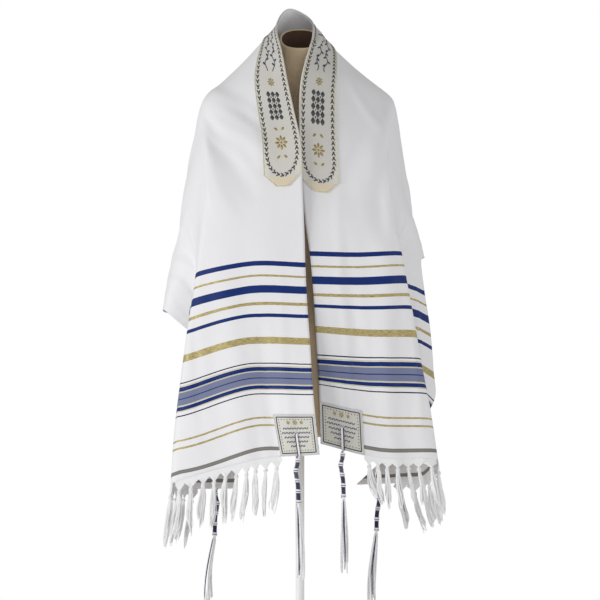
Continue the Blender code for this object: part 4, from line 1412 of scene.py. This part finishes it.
class SHAWL_OT_dress_form(bpy.types.Operator):
    """Build the limbless dress form with its hollow neck"""

    bl_idname = "shawl.dress_form"
    bl_label = "Dress form"

    def execute(self, context):
        settings = context.scene.shawl_form
        low, top = FORM_LOW, FORM_TOP
        count = round((top.height - low.height) / (settings.ring_step / MM))
        heights = [round(low.height + (top.height - low.height) * k / count) for k in range(count + 1)]
        middle, inside = (
            top._replace(half_width=top.half_width - wall, half_depth=top.half_depth - wall)
            for wall in (NECK_WALL / 2, NECK_WALL)
        )
        deep = inside._replace(height=NECK_RIM_FRONT - NECK_HOLLOW_DEPTH)
        foot = [self.shrunk(low, share) for share in (0.06, 0.5, 0.97)]
        body = [self.points(ring) for ring in (*foot, *(ring_at(height) for height in heights))]
        neck, rim = self.points(top), self.points(top, rim_height)
        body += [self.between(neck, rim, 0.5), self.between(neck, rim, 0.96), rim]
        body.append(self.points(middle, lambda depth: rim_height(depth) + 1.2))
        inner = [self.points(inside, rim_height)]
        body.append(inner[0])
        for share in (0.25, 0.5, 0.75, 1.0):
            inner.append(self.between(inner[0], self.points(deep), share))
        inner += [self.points(self.shrunk(deep, share)) for share in (0.6, 0.05)]
        bm = bmesh.new()
        for thread, rings in ((0, body), (1, inner)):
            rolled(bm, rings, [ring[0].z for ring in rings], 0.85, thread)
        sewn_up(bm, 0.01, fill=True)
        # The second material, on the neck's inside, is a dark colour that is painted shade in the hollow
        materials = [
            jersey_cover("cotton_jersey_cover", settings.cover, 0.85),
            jersey_cover("wool_felt_lining", settings.hollow_painted_shade, 0.95),
        ]
        finished("form_body", bm, materials, "dress_form")
        return {"FINISHED"}

    def points(self, ring, height_of=None):
        """Points round the form at one ring. height_of may give each point's height from its depth."""
        sides = bpy.context.scene.shawl_form.sides
        power = 2 / FORM_SQUARENESS
        places = []
        for k in range(sides):
            east, back = cos(tau * k / sides), sin(tau * k / sides)
            x = copysign(abs(east) ** power, east) * ring.half_width
            y = copysign(abs(back) ** power, back) * ring.half_depth + ring.middle
            places.append(Vector((x, y, height_of(y) if height_of else ring.height)))
        return places

    def shrunk(self, ring, share):
        return ring._replace(half_width=ring.half_width * share, half_depth=ring.half_depth * share)

    def between(self, first, last, share):
        return [a.lerp(b, share) for a, b in zip(first, last)]


class SHAWL_OT_stand(bpy.types.Operator):
    """Build the stand: a white pole and a round base plate"""

    bl_idname = "shawl.stand"
    bl_label = "Stand"

    def execute(self, context):
        coat = powder_coat(context.scene.shawl_form.paint)
        edge, top = BASE_DIAMETER / 2, BASE_THICKNESS
        turns = (0.0, 0.4, 0.8, 1.2, pi / 2)
        rounded = [(edge - 3 + 3 * sin(turn), top - 3 + 3 * cos(turn)) for turn in turns]
        profile = [(0, top), (40, top), *rounded, (edge, 1.5), (edge - 1.5, 0), (0, 0)]
        self.turned("stand_base", profile, coat, "base")
        radius = POLE_DIAMETER / 2
        low, high = top + SEAM_GAP, FORM_LOW.height - SEAM_GAP
        self.turned("stand_pole", [(0, high), (radius, high), (radius, low), (0, low)], coat, "pole")
        return {"FINISHED"}

    def turned(self, name, profile, coat, node):
        """A round piece, spun from its profile of radius and height."""
        bm = bmesh.new()
        corners = [bm.verts.new((radius, 0, height)) for radius, height in profile]
        edges = [bm.edges.new(pair) for pair in zip(corners, corners[1:])]
        line = [*corners, *edges]
        bmesh.ops.spin(bm, geom=line, cent=(0, 0, 0), axis=UP, angle=tau, steps=96, use_merge=True)
        sewn_up(bm, 0.01)
        finished(name, bm, [coat], node)


class SHAWL_OT_stage(bpy.types.Operator):
    """Build the floor, the lights and the camera"""

    bl_idname = "shawl.stage"
    bl_label = "Stage"

    def execute(self, context):
        stage = context.scene.shawl_stage
        bm = bmesh.new()
        bmesh.ops.create_circle(bm, cap_ends=True, segments=96, radius=stage.floor_radius)
        mesh = bpy.data.meshes.new("floor")
        bm.to_mesh(mesh)
        bm.free()
        mesh.transform(Matrix.Translation((0, 0, -0.0005)))
        mesh.materials.append(painted_floor(stage.floor))
        floor = self.placed(mesh)
        self.sky(context.scene, stage)
        for name, place, size in LIGHTS:
            light = bpy.data.lights.new(f"{name}_softbox", "AREA")
            light.size = size
            light.energy = getattr(stage, f"{name}_power")
            turn = (LIGHTS_FACE - Vector(place)).to_track_quat("-Z", "Y").to_euler()
            self.placed(light, place, turn)
        self.camera(context.scene, stage)
        context.scene.view_settings.view_transform = "Standard"
        return {"FINISHED"}

    def sky(self, scene, stage):
        """An even white studio: it lights softly, and the picture shows it plain white."""
        world = bpy.data.worlds.new("studio")
        world.use_nodes = True
        tree = world.node_tree
        plain = tree.nodes["Background"]
        plain.inputs[0].default_value = (1, 1, 1, 1)
        plain.inputs[1].default_value = stage.sky_strength
        backdrop = add_node(tree, "Background", ((1, 1, 1, 1), 1.0))
        seen = add_node(tree, "LightPath", out="Is Camera Ray")
        mixed = add_node(tree, "MixShader", (seen, plain.outputs[0], backdrop))
        tree.links.new(mixed, tree.nodes["World Output"].inputs[0])
        scene.world = world

    def camera(self, scene, stage):
        camera = bpy.data.cameras.new("camera")
        camera.sensor_width = 36
        camera.lens = camera.sensor_width * stage.camera_distance / stage.frame_width
        place = (STAND_AT.x, PICTURE_DEPTH - stage.camera_distance, stage.frame_middle)
        scene.camera = self.placed(camera, place, (pi / 2, 0, 0))

    def placed(self, data, place=(0, 0, 0), turn=(0, 0, 0)):
        obj = bpy.data.objects.new(data.name, data)
        obj.location = place
        obj.rotation_euler = turn
        bpy.context.scene.collection.objects.link(obj)
        return obj


# Each group of settings, under its name on the scene, with the operators that use it
GROUPS = (
    ("shawl_stage", ShawlStage, (SHAWL_OT_stage,)),
    ("shawl_form", ShawlForm, (SHAWL_OT_dress_form, SHAWL_OT_stand)),
    ("shawl_cloth", ShawlCloth, (SHAWL_OT_cloth,)),
    ("shawl_satin", ShawlSatin, (SHAWL_OT_neckband, SHAWL_OT_patches)),
    ("shawl_fringe", ShawlFringe, (SHAWL_OT_fringes,)),
    ("shawl_tassels", ShawlTassels, (SHAWL_OT_corner_tassels,)),
)


class SHAWL_PT_panel(bpy.types.Panel):
    """Lists the pieces in the sidebar, each with its settings"""

    bl_idname = "SHAWL_PT_panel"
    bl_label = "Prayer shawl"
    bl_space_type = "VIEW_3D"
    bl_region_type = "UI"
    bl_category = "Shawl"

    def draw(self, context):
        for name, group, operators in GROUPS:
            box = self.layout.box()
            for operator in operators:
                box.operator(operator.bl_idname)
            for setting in group.__annotations__:
                box.prop(getattr(context.scene, name), setting)


CLASSES = [cls for _, group, operators in GROUPS for cls in (group, *operators)] + [SHAWL_PT_panel]


def register():
    for cls in CLASSES:
        bpy.utils.register_class(cls)
    for name, group, _ in GROUPS:
        setattr(bpy.types.Scene, name, PointerProperty(type=group))


def unregister():
    for name, _, _ in GROUPS:
        delattr(bpy.types.Scene, name)
    for cls in reversed(CLASSES):
        bpy.utils.unregister_class(cls)


def declare_cloth():
    """Gathers the pieces sewn on the cloth that are not CAD nodes; nothing is done with the list."""
    starts = ("neckband_", "patch_", "fringe_", "corner_tassel_")
    sewn_on = [
        obj for obj in bpy.data.objects if obj.name.startswith(starts) and obj.name not in frame["nodes"]
    ]


def main():
    register()
    bpy.ops.shawl.stage()
    bpy.ops.shawl.dress_form()
    bpy.ops.shawl.stand()
    bpy.ops.shawl.cloth()
    bpy.ops.shawl.neckband()
    bpy.ops.shawl.patches()
    bpy.ops.shawl.fringes()
    bpy.ops.shawl.corner_tassels()
    declare_cloth()


if __name__ == "__main__":
    main()
